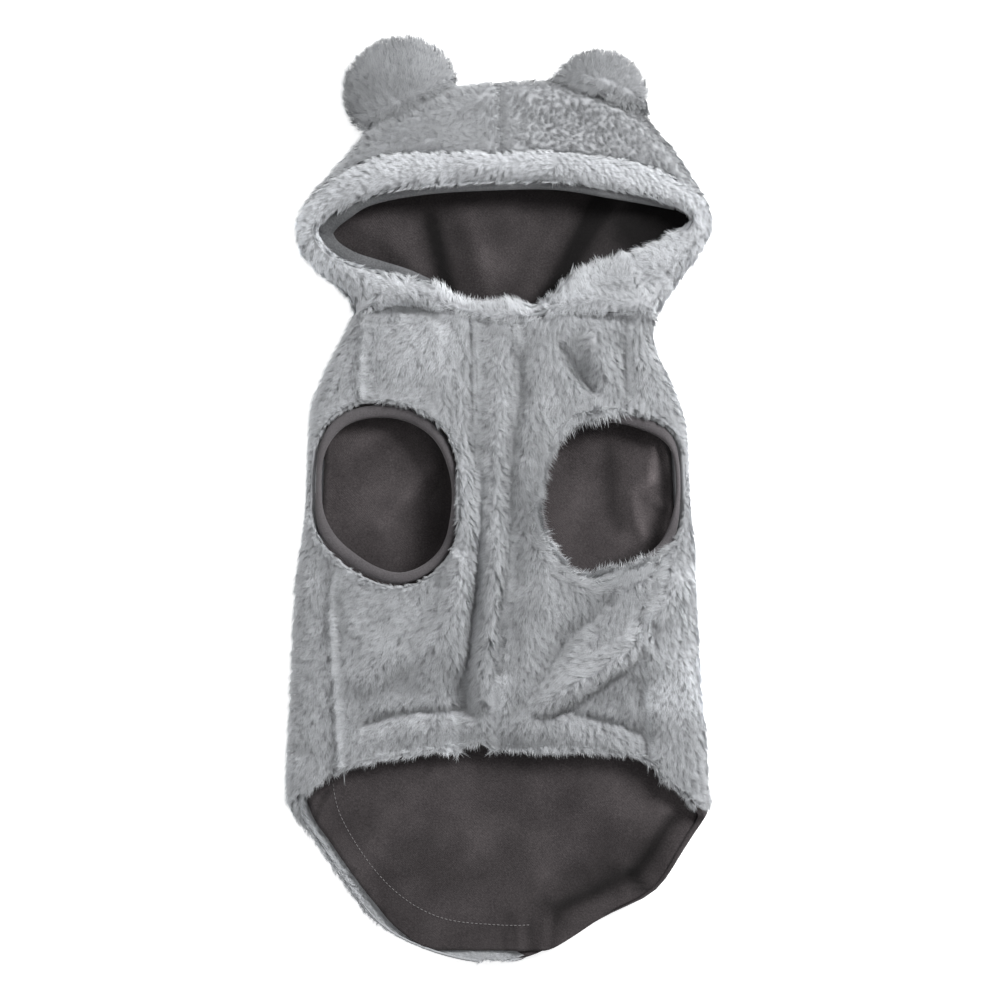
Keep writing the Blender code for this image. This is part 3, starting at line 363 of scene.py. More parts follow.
HOOD_CREASES = [
    ([(-66, 162), (-54, 144), (-48, 130)], 8, 2.6, 0.04),
    ([(-41, 168), (-36, 146), (-31, 126)], 6, 0, -0.8),
    ([(-20, 170), (-14, 150), (-8, 130)], 9, 4, 0.26),
    ([(6, 165), (2, 140)], 8, 2.5, 0.08),
    ([(40, 182), (26, 150), (12, 122)], 8, 3.2, 0.02),
    ([(63, 182), (45, 149), (25, 114)], 7, 0, -0.8),
    ([(82, 176), (66, 156), (50, 134)], 7, 2.8, -0.1),
    ([(-90, 168), (-64, 152)], 6, 1.5, 0.06),
    ([(116, 170), (88, 163)], 22, 0, -0.98),
    ([(-60, 176), (0, 181), (60, 177)], 6, 0, -0.2),
    ([(-20, 172), (40, 160)], 24, 0, -0.1),
]


def creases_of(node):
    if node.startswith(("front", "placket", "back")):
        return PLUSH_CREASES
    return {"hood_brim": BRIM_CREASES, "hood_left": CROWN_CREASES, "hood_right": CROWN_CREASES}.get(node, ())


tables = (PLUSH_CREASES, CROWN_CREASES, BRIM_CREASES, LINING_CREASES, HOOD_CREASES)
print("Creases placed by hand:", sum(len(table) for table in tables))


# %% [markdown]
# ## The armholes' edges
#
# Pile hangs over the knit tape along some stretches of an armhole and stands clear of it along others. The
# tape's outer edge is a radius for each angle round the armhole's middle, and a second table says how far
# the pile hangs over it. Between the listed angles both are interpolated.


# %% Armholes
# The tape's outer edge round each armhole: centre on the plan, and (angle, radius) in degrees and mm
ARMHOLE_EDGE = {
    "left": ((-69, 2), [(0, 45), (50, 53), (95, 56.5), (117, 57.5), (144, 53), (180, 46), (206, 46.5),
                        (237, 47), (262, 51), (285, 55), (313, 53), (345, 46.5), (360, 45)]),
    "right": ((66, 2), [(0, 46), (43, 54.5), (70, 53), (93, 52.3), (116, 53.5), (152, 48.5), (205, 48.5),
                        (250, 53.5), (298, 49), (344, 45.5), (360, 46)]),
}
# How far the pile hangs over the tape, from 0 to 1, by angle
ARMHOLE_FRINGE = {
    "left": [(0, 0.26), (14, 0.2), (30, 0), (330, 0), (346, 0.2), (360, 0.26)],
    "right": [(0, 0), (60, 0), (76, 0.25), (98, 0.9), (172, 0.9), (200, 0.5), (244, 0.4), (264, 0.75),
              (300, 0.75), (322, 0.2), (336, 0), (360, 0)],
}
ARMHOLE_REACH, ARMHOLE_FADE = 14, 6  # mm outside the tape, where its effect on the pile ends and how it fades


def fringe_at(x, y):
    """How far pile hangs over the tape here, how near the armhole is, and which way its middle lies."""
    for side, (centre, edge) in ARMHOLE_EDGE.items():
        inward = Vector(centre) - Vector((x, y))
        angle = math.degrees(math.atan2(-inward.y, -inward.x)) % 360
        beyond = inward.length - np.interp(angle, *zip(*edge))
        if beyond < ARMHOLE_REACH:
            near = fade(max(beyond, 0), ARMHOLE_FADE)
            return near * np.interp(angle, *zip(*ARMHOLE_FRINGE[side])), near, inward.normalized()
    return 0.0, 0.0, Vector((0, 0))


for side, (centre, edge) in ARMHOLE_EDGE.items():
    across = sum(np.interp(angle, *zip(*edge)) for angle in (0, 180))
    print(f"The {side} armhole is {across:.1f} mm across, round {centre}")


# %% [markdown]
# ## Where pile grows
#
# Pile grows on the plush's right side only, and a closed wall doesn't say which side that is. A face has
# pile when nothing is close in front of it or, if it looks up, straight above it. A ray that meets the
# lining or another panel marks the wrong side, or the inside of a seam. Pile is thicker along seams, where
# two panels' pile meets, and where it hangs over the tape. Under the coat it is thin and pressed flat.


# %% Right sides
# The seams of the ears on the crown, and which way each ear stands from it on the plan
EAR_SEAMS = {"ear_left": ([(-74, 222), (-52, 236), (-28, 246)], Vector((-0.45, 0.9))),
             "ear_right": ([(35, 253), (60, 246), (88, 233)], Vector((0.32, 0.95)))}
BODY_PANELS = ("back_panel", "front_left", "front_right", "placket")
TAIL_Y = -178  # the body ends here and the tail goes on below
TAIL_MIDDLE = 12  # x of the tail's tip. To its right the lining is turned over the tail's edge
TAIL_BARE_EDGE = [(124, -178), (104, -206), (84, -229), (60, -250), (36, -267), (8, -277)]
BARE_WIDTH = 9  # of the strip under that edge that has no pile
LOW = 17  # mm over the floor, which is the lower half of the side walls
UP = Vector((0, 0, 1))
SIGHT, NEAR_SIGHT = 30 * MM, 2.5 * MM  # the second is for the ears, which meet the crown at an open angle
SEAM_REACH, SEAM_FADE = 6 * MM, 4 * MM
EAR_SEAM_FADE = 5
SEAM_GAIN, FRINGE_GAIN = 0.8, 1.3  # extra pile at seams, and where it hangs over the tape
TAIL_SHARE, UNDERSIDE_SHARE = 1.5, 0.15


def node_trees():
    """A search tree of each packed wall, for rays and for nearest points."""
    trees = {}
    for name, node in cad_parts.items():
        points = [vertex.co for vertex in node.data.vertices]
        trees[name] = BVHTree.FromPolygons(points, [polygon.vertices for polygon in node.data.polygons])
    return trees


def is_open(point, normal, node):
    """Whether a ray from the face enters no solid. It may leave the one that it starts in."""
    for name, tree in TREES.items():
        start = point - normal * 0.5 * MM
        sight = NEAR_SIGHT if name.startswith("ear") or node.startswith("ear") else SIGHT
        for _ in range(4):
            spot, facing, _, _ = tree.ray_cast(start, normal, sight)
            if spot is None:
                break
            if facing.dot(normal) < 0:
                return False
            start = spot + normal * 0.05 * MM
    return True


def is_underside(point, normal):
    """Whether a face looks down at the floor that the coat lies on."""
    return normal.z < -0.75 and point.z < 6 * MM


def seam_at(node, point):
    """How near the next panel of the body is, from 0 to 1, and which way it lies on the plan."""
    nearest = (0.0, Vector((0, 0)))
    if node not in BODY_PANELS:
        return nearest
    for other in BODY_PANELS:
        if other == node:
            continue
        spot, _, _, away = TREES[other].find_nearest(point, SEAM_REACH)
        if spot is None or away == 0:
            continue
        across = (spot - point).xy
        near = fade(away, SEAM_FADE)
        if across.length > 0.6 * away and near > nearest[0]:
            nearest = (near, across.normalized())
    return nearest


def pile_share(node, point, normal):
    """How much pile stands on a face: 1 where it is full, and 0 on the wrong side."""
    x, y, z = point / MM
    if is_underside(point, normal):
        bare = y < TAIL_Y + 8 and x > 0 and nearest_on(TAIL_BARE_EDGE, x, y)[1] < BARE_WIDTH
        return 0.0 if bare else UNDERSIDE_SHARE
    if node == "back_panel" and y < TAIL_Y - 6 and x > TAIL_MIDDLE:
        return 0.0  # the lining covers the tail's edge here
    if not (is_open(point, normal, node) or normal.z > 0.12 and is_open(point, UP, node)):
        return 0.0  # the wrong side
    if node == "back_panel" and y > TAIL_Y + 2 and normal.x * x < -0.25 * abs(x) and z < LOW:
        return 0.0  # the inside of a side wall, in front of which the coat is hollow
    if node in ("hood_left", "hood_right") and z < LOW and normal.z > 0.3 and not is_open(point, UP, node):
        return 0.0  # the inside of the hood
    if node.startswith(("ear", "hood_l", "hood_r")):
        near = max(fade(nearest_on(seam, x, y)[1], EAR_SEAM_FADE) for seam, _ in EAR_SEAMS.values())
        return 1.0 + SEAM_GAIN * near
    if node == "back_panel" and y < TAIL_Y:
        return TAIL_SHARE
    over, near, _ = fringe_at(x, y)
    return 1.0 + FRINGE_GAIN * over + SEAM_GAIN * near + SEAM_GAIN * seam_at(node, point)[0]


def right_side_normals(mesh, shares):
    """For each point on the plush's right side, which way that side looks there. Other points get none."""
    normals = [Vector() for _ in mesh.vertices]
    for face, share in zip(mesh.polygons, shares):
        if share > 0:
            for i in face.vertices:
                normals[i] += face.normal * face.area
    return [normal.normalized() if normal.length > 0 else normal for normal in normals]


TREES = node_trees()
print("Walls that rays can meet:", len(TREES))


# %% [markdown]
# ## Backing, lining and tape
#
# The backing of real plush is about 1.5 mm thick, so a plush piece is its wall drawn in from its right side
# by the pile's depth, and by less beside the tape and at the tail's thin rim. The lining has no pile and
# keeps its size, and the tape gives way by a tenth of a millimetre. Then the creases move the points, and a
# broad noise takes the last evenness away. On the tail's right edge the lining is turned over the plush.


# %% Cloth pieces
PLUSH_NODES = ["back_panel", "front_left", "front_right", "placket", "hood_left", "hood_right", "hood_brim",
               "ear_left", "ear_right"]
PILE_DEPTH = {"hood_brim": 1.5 * MM, "ear_left": 1.6 * MM, "ear_right": 1.6 * MM}
BODY_PILE_DEPTH = 2.2 * MM
TAIL_DEPTH = 0.4  # share of that depth at the tail's rim
TAPE_RISE = 0.4  # and how much of it is left out beside the tape
HANG_OUT, HANG_UP = 4.5, 1.2  # mm that the cloth's edge goes with the pile over the tape, and that it rises
CREASED_FROM = 5 * MM  # cloth below this height is pressed flat
BUMPS = 22 * MM  # size of the cloth's slight unevenness
HEM_REACH = 4.8 * MM  # of the lining over the tail's lower edge
FOLD_AT, FOLD_RADIUS = Vector((92, -232)), 22  # where the tail's lower right edge is folded
FOLD_OUT, FOLD_REACH = Vector((0.65, -0.76, 0)), 5
DARKEST = 0.12


def cloth(node, name, material, drawn_in=0.0, creases=(), unevenness=0.0, levels=1):
    """A node's wall as cloth: subdivided, drawn in under its pile, creased, and a little uneven."""
    piece = merged_copy(node, name)
    rounded = piece.modifiers.new("Round", "SUBSURF")
    rounded.levels = rounded.render_levels = levels
    mesh = applied(piece).data
    mesh.materials.append(material)
    normals = [Vector()] * len(mesh.vertices)
    if drawn_in:
        shares = [pile_share(node, face.center, face.normal) for face in mesh.polygons]
        mesh.attributes.new("pile", "FLOAT", "FACE").data.foreach_set("value", shares)
        normals = right_side_normals(mesh, shares)
    for vertex, normal in zip(mesh.vertices, normals):
        x, y = vertex.co.x / MM, vertex.co.y / MM
        over, near, inward = fringe_at(x, y)
        spot = vertex.co - normal * drawn_in * (TAIL_DEPTH if y < TAIL_Y else 1 - TAPE_RISE * near)
        if drawn_in and normal.z > 0.2 and node.startswith(("front", "back")):
            spot += Vector((*(inward * over * HANG_OUT * MM), over * HANG_UP * MM))
        if vertex.co.z > CREASED_FROM:
            spot.z += crease_at(creases, x, y)[0]
            bump = noise.noise(vertex.co * (1 // BUMPS))
            spot.z += unevenness * bump * min(1.0, (vertex.co.z - CREASED_FROM) / (6 * MM))
        spot.z = max(spot.z, 0.0)
        vertex.co = spot
    mesh.shade_smooth()
    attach(piece, "root")
    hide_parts(node)
    return piece


def fill_fold(vertex):
    """Makes the tail's lower right edge stand out a little at its fold."""
    near = fade((vertex.co.xy / MM - FOLD_AT).length, FOLD_RADIUS)
    vertex.co += FOLD_OUT * FOLD_REACH * MM * near


def reach_to_hem(piece):
    """Draws the lining over the tail's edge at the bottom, and fills out the fold at its lower right."""
    for vertex in piece.data.vertices:
        vertex.co.y -= HEM_REACH * min(max((-vertex.co.y / MM - 244) / 20, 0), 1)
        fill_fold(vertex)


def mark_painted_shading(piece, tint):
    """Stores the colour's gain on the points, as painted light and shade. The function gives it for a place
    on the plan.
    """
    gains = [max(tint(*(vertex.co.xy / MM)), DARKEST) for vertex in piece.data.vertices]
    piece.data.attributes.new("tint", "FLOAT", "POINT").data.foreach_set("value", gains)


cloths = {}
for node in PLUSH_NODES:
    depth = PILE_DEPTH.get(node, BODY_PILE_DEPTH)
    levels = 2 if node.startswith(("front", "placket")) else 1
    cloths[node] = cloth(node, f"cloth_{node}", BACKING, depth, creases_of(node), 1.2 * MM, levels)
lining_back = cloth("back_lining", "lining_back", LINING, 0.0, LINING_CREASES, 0.6 * MM, 2)
lining_hood = cloth("hood_lining", "lining_hood", LINING, 0.0, HOOD_CREASES, 0.6 * MM, 2)
# Painted light and shade on the lining: the hood's lining is darker all over, in the hood's shade, and the
# creases add theirs. The back's lining is paler in the armholes than on the tail.
mark_painted_shading(lining_back, lambda x, y: (1.1 if y > -60 else 0.97) + crease_at(LINING_CREASES, x, y)[1])
mark_painted_shading(lining_hood, lambda x, y: 0.8 + crease_at(HOOD_CREASES, x, y)[1])
reach_to_hem(lining_back)
turned_edge = cloths["back_panel"].data
for vertex in turned_edge.vertices:
    fill_fold(vertex)
turned_edge.materials.append(LINING)
for face in turned_edge.polygons:
    if face.center.y < TAIL_Y * MM and face.center.x > TAIL_MIDDLE * MM and face.normal.z > -0.55:
        face.material_index = 1
tapes = [cloth(f"armhole_binding_{side}", f"tape_{side}", TAPE, 0.1 * MM) for side in ("left", "right")]
for piece in tapes:
    mark_painted_shading(piece, lambda x, y: 1.0)
for piece in [*cloths.values(), lining_back, lining_hood, *tapes]:
    print(f"{piece.name}: {len(piece.data.polygons)} faces")


# %% [markdown]
# ## The facing of the face opening
#
# Inside the band's edge the plush is turned in, so its grey wrong side shows as a narrow strip above and a
# wider one at the left. It's a flat ribbon that follows the band's inner edge, a little below it, and dips
# towards the lining. Its width is listed along the edge, and it ends where the neck's pile hangs in. The
# ribbon is a row of rings of points with faces between them, and the same function makes the stitches'
# thread later.


# %% Facing
# The band round the face, from its top middle to the left, under the opening and back: outer edge, inner edge
# and height, in mm
RIM = [
    (0, 206, 0, 189, 30), (-43, 205, -44, 186.5, 29), (-83, 202, -77, 181, 26), (-101, 190, -94, 174, 22),
    (-116, 180, -105, 167.5, 19), (-122.6, 163, -110.4, 160, 18), (-118, 146, -104.5, 149, 18),
    (-104, 132, -90, 141.5, 18.5), (-88, 120, -72, 136.5, 20), (-80.4, 112, -56, 133.5, 21),
    (-52, 117.5, -39, 129, 22), (-34, 114.5, -29, 121.5, 22.5), (-13, 107.5, -11, 115.5, 23),
    (0, 106, 4, 118, 23), (22, 108.5, 22, 113.5, 23), (35, 111.5, 36, 124.5, 23),
    (60, 111.5, 47, 136, 22.5), (80, 112, 62, 141, 22), (94, 112, 76, 145.5, 21),
    (106, 132, 91, 150.5, 19.5), (119, 148, 107, 157.5, 18.5), (127.5, 166, 114.6, 170.5, 18.5),
    (120, 186, 105, 176, 21), (106, 197, 90, 180, 25), (76, 202, 68, 184, 28), (35, 207, 35, 189, 30),
]
RIM_OUTER = [row[:2] for row in RIM + RIM[:1]]
RIM_INNER = [row[2:4] for row in RIM + RIM[:1]]
# Rows of RIM, by place in the list, and the facing's width there in mm
FACING_ROWS = [(22, 2.5), (23, 4), (24, 4.5), (25, 4.5), (0, 4.5), (1, 4.5), (2, 5), (3, 7), (4, 9),
               (5, 10.5), (6, 10), (7, 8), (8, 7), (9, 5), (10, 2)]
FACING_THICK = 0.8
FACING_SHADE = [(-104, 154, 20, -0.28)]  # darker at its left end, in the band's shade
FACING_TUCK = 2.2  # how far the ribbon reaches under the band


def smooth_rows(rows, steps):
    """More rows between the given ones, along Catmull-Rom curves."""
    rows = np.array(rows, dtype=float)
    padded = np.vstack([2 * rows[0] - rows[1], rows, 2 * rows[-1] - rows[-2]])
    fine = []
    for i in range(1, len(padded) - 2):
        a, b, c, d = padded[i - 1:i + 3]
        for t in np.arange(steps) / steps:
            fine.append(0.5 * (2 * b + (c - a) * t + (2 * a - 5 * b + 4 * c - d) * t**2
                               + (3 * b - a - 3 * c + d) * t**3))
    return np.array([*fine, rows[-1]])


def skinned(name, rings):
    """A closed mesh through rings of points in mm, which all have as many points."""
    build = bmesh.new()
    rings = [[build.verts.new(Vector(point) * MM) for point in ring] for ring in rings]
    for before, after in zip(rings, rings[1:]):
        for k in range(len(before)):
            beside = (k + 1) % len(before)
            build.faces.new((before[k], before[beside], after[beside], after[k]))
    build.faces.new(rings[0][::-1])
    build.faces.new(rings[-1])
    bmesh.ops.recalc_face_normals(build, faces=build.faces)
    mesh = bpy.data.meshes.new(name)
    build.to_mesh(mesh)
    build.free()
    return mesh


def make_facing():
    """The ribbon. Its rings have three points along the top, from the band inwards, and three back below."""
    rows = smooth_rows([(*RIM[i][2:], width) for i, width in FACING_ROWS], 6)
    rings = []
    for i, (x, y, height, width) in enumerate(rows):
        ahead = rows[min(i + 1, len(rows) - 1)] - rows[max(i - 1, 0)]
        inward = Vector((-ahead[1], ahead[0])).normalized()
        top = [(-FACING_TUCK, 1.6), (width * 0.5, 2.4), (width, 3.4)]
        below = [(reach, drop + FACING_THICK) for reach, drop in reversed(top)]
        ring = [(x + inward.x * reach, y + inward.y * reach, height - drop) for reach, drop in top + below]
        rings.append(ring)
    mesh = skinned("hood_facing", rings)
    mesh.materials.append(FACING)
    mesh.shade_smooth()
    piece = placed("hood_facing", mesh)
    mark_painted_shading(piece, lambda x, y: 1 + spots_at(FACING_SHADE, x, y))
    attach(piece, "root")
    return piece


facing = make_facing()
print(f"The facing has {len(facing.data.polygons)} faces")


# %% [markdown]
# ## Topstitching
#
# The lining is topstitched to the tail some 15 mm inside its edge, in thread of nearly its own colour. A
# short node tree turns a path into a row of stitches: it divides the path evenly and puts one stitch at
# each point, turned along the path. The stitches could be modelled one by one, but a tree also serves
# another path or pitch.


# %% Stitches
STITCH_PITCH = 2.6 * MM
STITCH_RINGS = [(-0.95, -0.2, 0.1), (-0.6, 0.12, 0.2), (0, 0.2, 0.24), (0.6, 0.12, 0.2), (0.95, -0.2, 0.1)]
ABOVE = 60  # mm over the floor, from which the path is dropped onto the cloth
TWIST = 900  # a wave's scale, for a thread whose strands are 0.35 mm apart


def thread_material():
    """Spun polyester: smoother than the cloth, with its twist just visible."""
    material, tree, shader = new_material("Polyester sewing thread, grey")
    point = add(tree, "ShaderNodeTexCoord").outputs["Object"]
    twist = add(tree, "ShaderNodeTexWave", {"Vector": point, "Scale": TWIST, "Distortion": 1.0})
    color = add(tree, "ShaderNodeValToRGB", {"Fac": twist.outputs["Fac"]}, [(0.2, "5d5a5b"), (0.8, "8a8788")])
    connect(tree, shader, {"Base Color": color, "Roughness": 0.6, "Sheen Weight": 0.2})
    return material


def make_stitch():
    """One stitch: a six-sided thread that dips into the cloth at both ends."""
    turns = np.arange(6) * math.pi / 3
    rings = [[(math.cos(turn) * radius, y, z + math.sin(turn) * radius) for turn in turns]
             for y, z, radius in STITCH_RINGS]
    return bpy.data.objects.new("stitch", skinned("stitch", rings))


def geometry_tree(name, result, **inputs):
    """A new geometry tree with named inputs, each of a kind of socket, and what its inputs give."""
    tree = bpy.data.node_groups.new(name, "GeometryNodeTree")
    for label, kind in inputs.items():
        tree.interface.new_socket(name=label, in_out="INPUT", socket_type=f"NodeSocket{kind}")
    tree.interface.new_socket(name=result, in_out="OUTPUT", socket_type="NodeSocketGeometry")
    return tree, add(tree, "NodeGroupInput").outputs


def run_tree(piece, tree, **values):
    """Runs a geometry tree on a piece, with values for its inputs, and keeps a plain mesh."""
    modifier = piece.modifiers.new(tree.name, "NODES")
    modifier.node_group = tree
    sockets = {item.name: item.identifier for item in tree.interface.items_tree if item.in_out == "INPUT"}
    for name, value in values.items():
        modifier[sockets[name]] = value
    return applied(piece)


def stitch_tree():
    """A row of stitches along a path, at an even pitch."""
    tree, given = geometry_tree("Row of stitches", "Row", Path="Geometry", Stitch="Object", Pitch="Float",
                                Thread="Material")
    curve = add(tree, "GeometryNodeMeshToCurve", {"Mesh": given["Path"]})
    even = add(tree, "GeometryNodeResampleCurve", {"Curve": curve, "Length": given["Pitch"]}, mode="LENGTH")
    tangent = add(tree, "GeometryNodeInputTangent")
    turned = add(tree, "FunctionNodeAxesToRotation", {0: tangent, 1: (0, 0, 1)}, primary_axis="Y",
                 secondary_axis="Z")
    model = add(tree, "GeometryNodeObjectInfo", {"Object": given["Stitch"]}, transform_space="ORIGINAL")
    row = add(tree, "GeometryNodeInstanceOnPoints",
              {"Points": even, "Instance": model.outputs["Geometry"], "Rotation": turned})
    real = add(tree, "GeometryNodeRealizeInstances", {"Geometry": row})
    finished = add(tree, "GeometryNodeSetMaterial", {"Geometry": real, "Material": given["Thread"]})
    add(tree, "NodeGroupOutput", {"Row": finished})
    return tree


def stitch_row(name, path, cloth_piece):
    """A row of stitches along a path on the plan, lying on a piece of cloth."""
    mesh = cloth_piece.data
    surface = BVHTree.FromPolygons([v.co for v in mesh.vertices], [p.vertices for p in mesh.polygons])
    drops = [surface.ray_cast(Vector((x, y, ABOVE)) * MM, -UP)[0] for x, y in smooth_rows(path, 8)]
    spots = [spot for spot in drops if spot is not None]
    line = bpy.data.meshes.new(name)
    line.from_pydata(spots, [(i, i + 1) for i in range(len(spots) - 1)], [])
    row = placed(name, line)
    run_tree(row, stitch_tree(), Stitch=make_stitch(), Pitch=STITCH_PITCH, Thread=thread_material())
    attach(row, "root")
    print(f"{name}: {len(row.data.polygons)} faces")


stitch_row("tail_topstitch", [(-101, -166), (-97, -186), (-86, -207), (-70, -228), (-52, -243), (-31, -252),
                              (-3, -255), (17, -255)], lining_back)


# %% [markdown]
# ## Which way the pile lies
#
# Plush keeps the way in which it was last stroked: here down the body to the tail, over the edges of the
# armholes and the hem, in over the face opening from the band, and outwards on the ears. Each of these is a
# short function that gives a direction on the plan and a length. Where two panels meet, each one's pile
# leans over the seam, so the seam is a soft dip and not a bare line.


# %% Lie of the pile
BRIM_FRINGE_FROM = -40  # x from which the lower band's pile hangs into the face opening
EAR_MIDDLES = {"ear_left": Vector((-62, 240)), "ear_right": Vector((61, 250))}


def armhole_lie(x, y):
    """How strongly the pile near an armhole leans, which way that is, and how long it is there."""
    over, near, inward = fringe_at(x, y)
    hanging = min(over / 0.4, 1)
    back = 0.7 * near * (1 - hanging) if inward.y < 0.3 else 0.0  # above a bare edge it's stroked away
    lean = inward * (0.8 * near * hanging + 1.8 * over - back)
    return lean, 1.0 + 0.35 * over - 0.45 * near * (1 - hanging)


def brim_lie(x, y):
    """The same for the band round the face: along it, over its outer seam, and in at the neck."""
    (outer_x, outer_y), to_outer = nearest_on(RIM_OUTER, x, y)
    (inner_x, inner_y), to_inner = nearest_on(RIM_INNER, x, y)
    outward = Vector((outer_x - inner_x, outer_y - inner_y)).normalized()
    over_seam = fade(to_outer, 4)
    if y < 158 and x > BRIM_FRINGE_FROM:
        inward = fade(to_inner, 9)
        down = (outward + Vector((0, -0.6))) * 1.6 * over_seam
        lean = -outward * 1.6 * inward + Vector((-0.5, 0.15)) + down
        return lean, 1.0 + 0.3 * inward
    along = Vector((outward.y, -outward.x))
    if along.y > 0 or (abs(along.y) < 0.25 and along.x * x < 0):
        along = -along
    if y > 170:
        return along * 0.8 + Vector((0, -0.45)), 0.82
    return along * 0.8 + outward * (0.3 + 1.4 * over_seam), 0.85 + 0.2 * over_seam


def ear_lie(node, x, y):
    """The same for an ear. Its pile points away from the crown, and over the seam at its base."""
    seam, out = EAR_SEAMS[node]
    near = fade(nearest_on(seam, x, y)[1], 7)
    return out * (1.3 - 3.2 * near) + (Vector((x, y)) - EAR_MIDDLES[node]) / 30, 1.12


def crown_lie(node, x, y):
    """The same for the crown: down towards the band, and over the middle seam and the ears' seams."""
    lean, length = Vector((x / 110, -0.7)), 0.85
    lean.x += (1.5 if node == "hood_left" else -1.5) * fade(x, 5)
    for seam, out in EAR_SEAMS.values():
        near = fade(nearest_on(seam, x, y)[1], 6)
        lean += out * 3.2 * near
        length += 0.45 * near
    return lean, length


def tail_rim_lie(y, normal):
    """The same for the tail's rim: along the edge and in under it, shorter towards the tip."""
    lean = Vector((normal.x, normal.y)) * -0.9 + Vector((-normal.y, normal.x)) * math.copysign(1.2, -normal.x)
    length = float(np.interp(-y, [178, 205, 240, 262], [0.9, 0.75, 0.62, 0.5]))
    return lean, length / (1.5 - 0.5 * abs(normal.z))


def lie_at(node, point, normal):
    """Direction on the plan in which the pile lies, and its length as a share of the full length."""
    x, y, z = point / MM
    if is_underside(point, normal):
        lean = Vector((-3 if x > TAIL_MIDDLE else 3, 3)) if y < TAIL_Y else Vector((x / 200, -3))
        return lean.to_3d(), 1.4
    if node.startswith("ear"):
        lean, length = ear_lie(node, x, y)
    elif node == "hood_brim":
        lean, length = brim_lie(x, y)
    elif node.startswith("hood"):
        lean, length = crown_lie(node, x, y)
    elif node == "back_panel" and y < TAIL_Y and z < 22:
        lean, length = tail_rim_lie(y, normal)
    else:
        lean, length = armhole_lie(x, y)
        by_seam, across = seam_at(node, point)
        lean = lean + Vector((x / 500, -1)) + across * 2.4 * by_seam
        length += 0.3 * by_seam
    lean = lean + Vector((normal.x, normal.y)) * 1.3  # on a slope the pile points down it
    length *= 1 + 0.5 * (1 - abs(normal.z))  # and stands out further, so it shows in the outline
    return lean.to_3d(), length


lean, length = lie_at("placket", Vector((0, 0, 30)) * MM, UP)
print(f"On the placket the pile leans {lean.x:.1f}, {lean.y:.1f} and has {length:.2f} of its full length")


# %% [markdown]
# ## Paler and darker places
#
# Stroked pile looks paler where it leans towards the light and darker where it leans away. Real light does
# that fibre by fibre, and these tufts are far fewer, so part of it is painted: round spots and whole pieces
# get a gain, and the creases add theirs. It's stored on the cloth's points and each tuft takes it up. So
# are the pile's direction and its length, which is shorter in the dark creases, where the pile is squeezed.


# %% Painted light and shade
# Painted light and shade on the pile, where it leans towards or away from the light or lies in the band's
# shadow: x, y and radius on the plan in mm, and the gain
BODY_PAINTED_SHADING = [
    (-42, 86, 26, 0.31), (112, -60, 22, 0.14), (112, -110, 26, 0.5), (112, 20, 14, 0.1),
    (-40, -144, 22, 0.13), (50, -146, 20, 0.05), (-70, 124, 26, 0.08), (-4, 117, 18, -0.2),
    (-82, 110, 10, -0.22), (84, 106, 9, -0.12), (-114, 60, 16, 0.14), (-60, -45, 26, 0.03),
    (56, 80, 24, -0.07), (50, -90, 40, -0.05), (-60, -200, 80, 0.12), (-112, 152, 26, 0.4),
    (72, 130, 30, -0.25), (-70, 128, 22, -0.06),
]
# Painted light and shade on the crown, in the same form
CROWN_PAINTED_SHADING = [(20, 236, 22, -0.12), (58, 224, 56, -0.38), (-57, 216, 15, -0.2), (45, 222, 16, -0.06),
               (82, 214, 14, -0.04), (0, 250, 20, 0.05), (-95, 196, 16, 0.1), (105, 190, 16, 0.08)]
# Painted light and shade on whole pieces, as a gain
NODE_PAINTED_SHADING = {"hood_brim": 0.38, "ear_left": -0.3, "ear_right": -0.39, "hood_right": -0.13, "hood_left": -0.13,
             "back_panel": 0.02, "front_left": 0.04, "front_right": 0.02, "placket": 0.03}
TIP_REACH = 3.0  # mm from a tuft's root to its tip
BACKLIGHT = 0.18  # gain of an upright low edge, which the white floor lights from behind
FAINTEST = 0.4


def painted_shading_at(node, x, y):
    """Gain of the pile's colour at a place on the plan, as painted light and shade."""
    gain = 1 + NODE_PAINTED_SHADING.get(node, 0.0) + crease_at(creases_of(node), x, y)[1]
    return gain + spots_at(CROWN_PAINTED_SHADING if node in ("hood_left", "hood_right") else BODY_PAINTED_SHADING, x, y)


def mark_pile(node, piece):
    """Stores the pile's nap, length and painted light and shade on the points, and tells how much of it there
    is.
    """
    mesh = piece.data
    lies = [lie_at(node, vertex.co, vertex.normal) for vertex in mesh.vertices]
    nap = mesh.attributes.new("nap", "FLOAT_VECTOR", "POINT")
    nap.data.foreach_set("vector", [value for lean, _ in lies for value in lean])
    gains = []
    for vertex, (lean, size) in zip(mesh.vertices, lies):
        tip = vertex.co / MM + lean.normalized() * TIP_REACH * size  # the tips cover this place
        backlit = BACKLIGHT * (1 - abs(vertex.normal.z)) if vertex.co.z < LOW * MM else 0.0
        gains.append(max(painted_shading_at(node, tip.x, tip.y) + backlit, FAINTEST))
    mesh.attributes.new("tint", "FLOAT", "POINT").data.foreach_set("value", gains)
    gains = np.array(gains)
    length = mesh.attributes.new("length", "FLOAT", "POINT")
    shorter = np.clip(1 + 0.6 * (gains - 1 - NODE_PAINTED_SHADING.get(node, 0.0)), 0.78, 1)
    length.data.foreach_set("value", shorter * [value for _, value in lies])
    share = mesh.attributes["pile"].data
    return sum(face.area * share[face.index].value for face in mesh.polygons)


pile_area = {node: mark_pile(node, piece) for node, piece in cloths.items()}
for node, area in pile_area.items():
    print(f"{node}: {area * 1e4:.0f} cm2 of pile")


# %% [markdown]
# ## One tuft of pile
#
# The fibres of plush hang together in small tufts. One tuft is modelled here, nine blades of two triangles
# each, and every tuft of the coat is a turned and scaled copy of it. It stands up from its root and bends
# over along the nap, which is its y. Hair curves would be finer, but an export keeps meshes only.


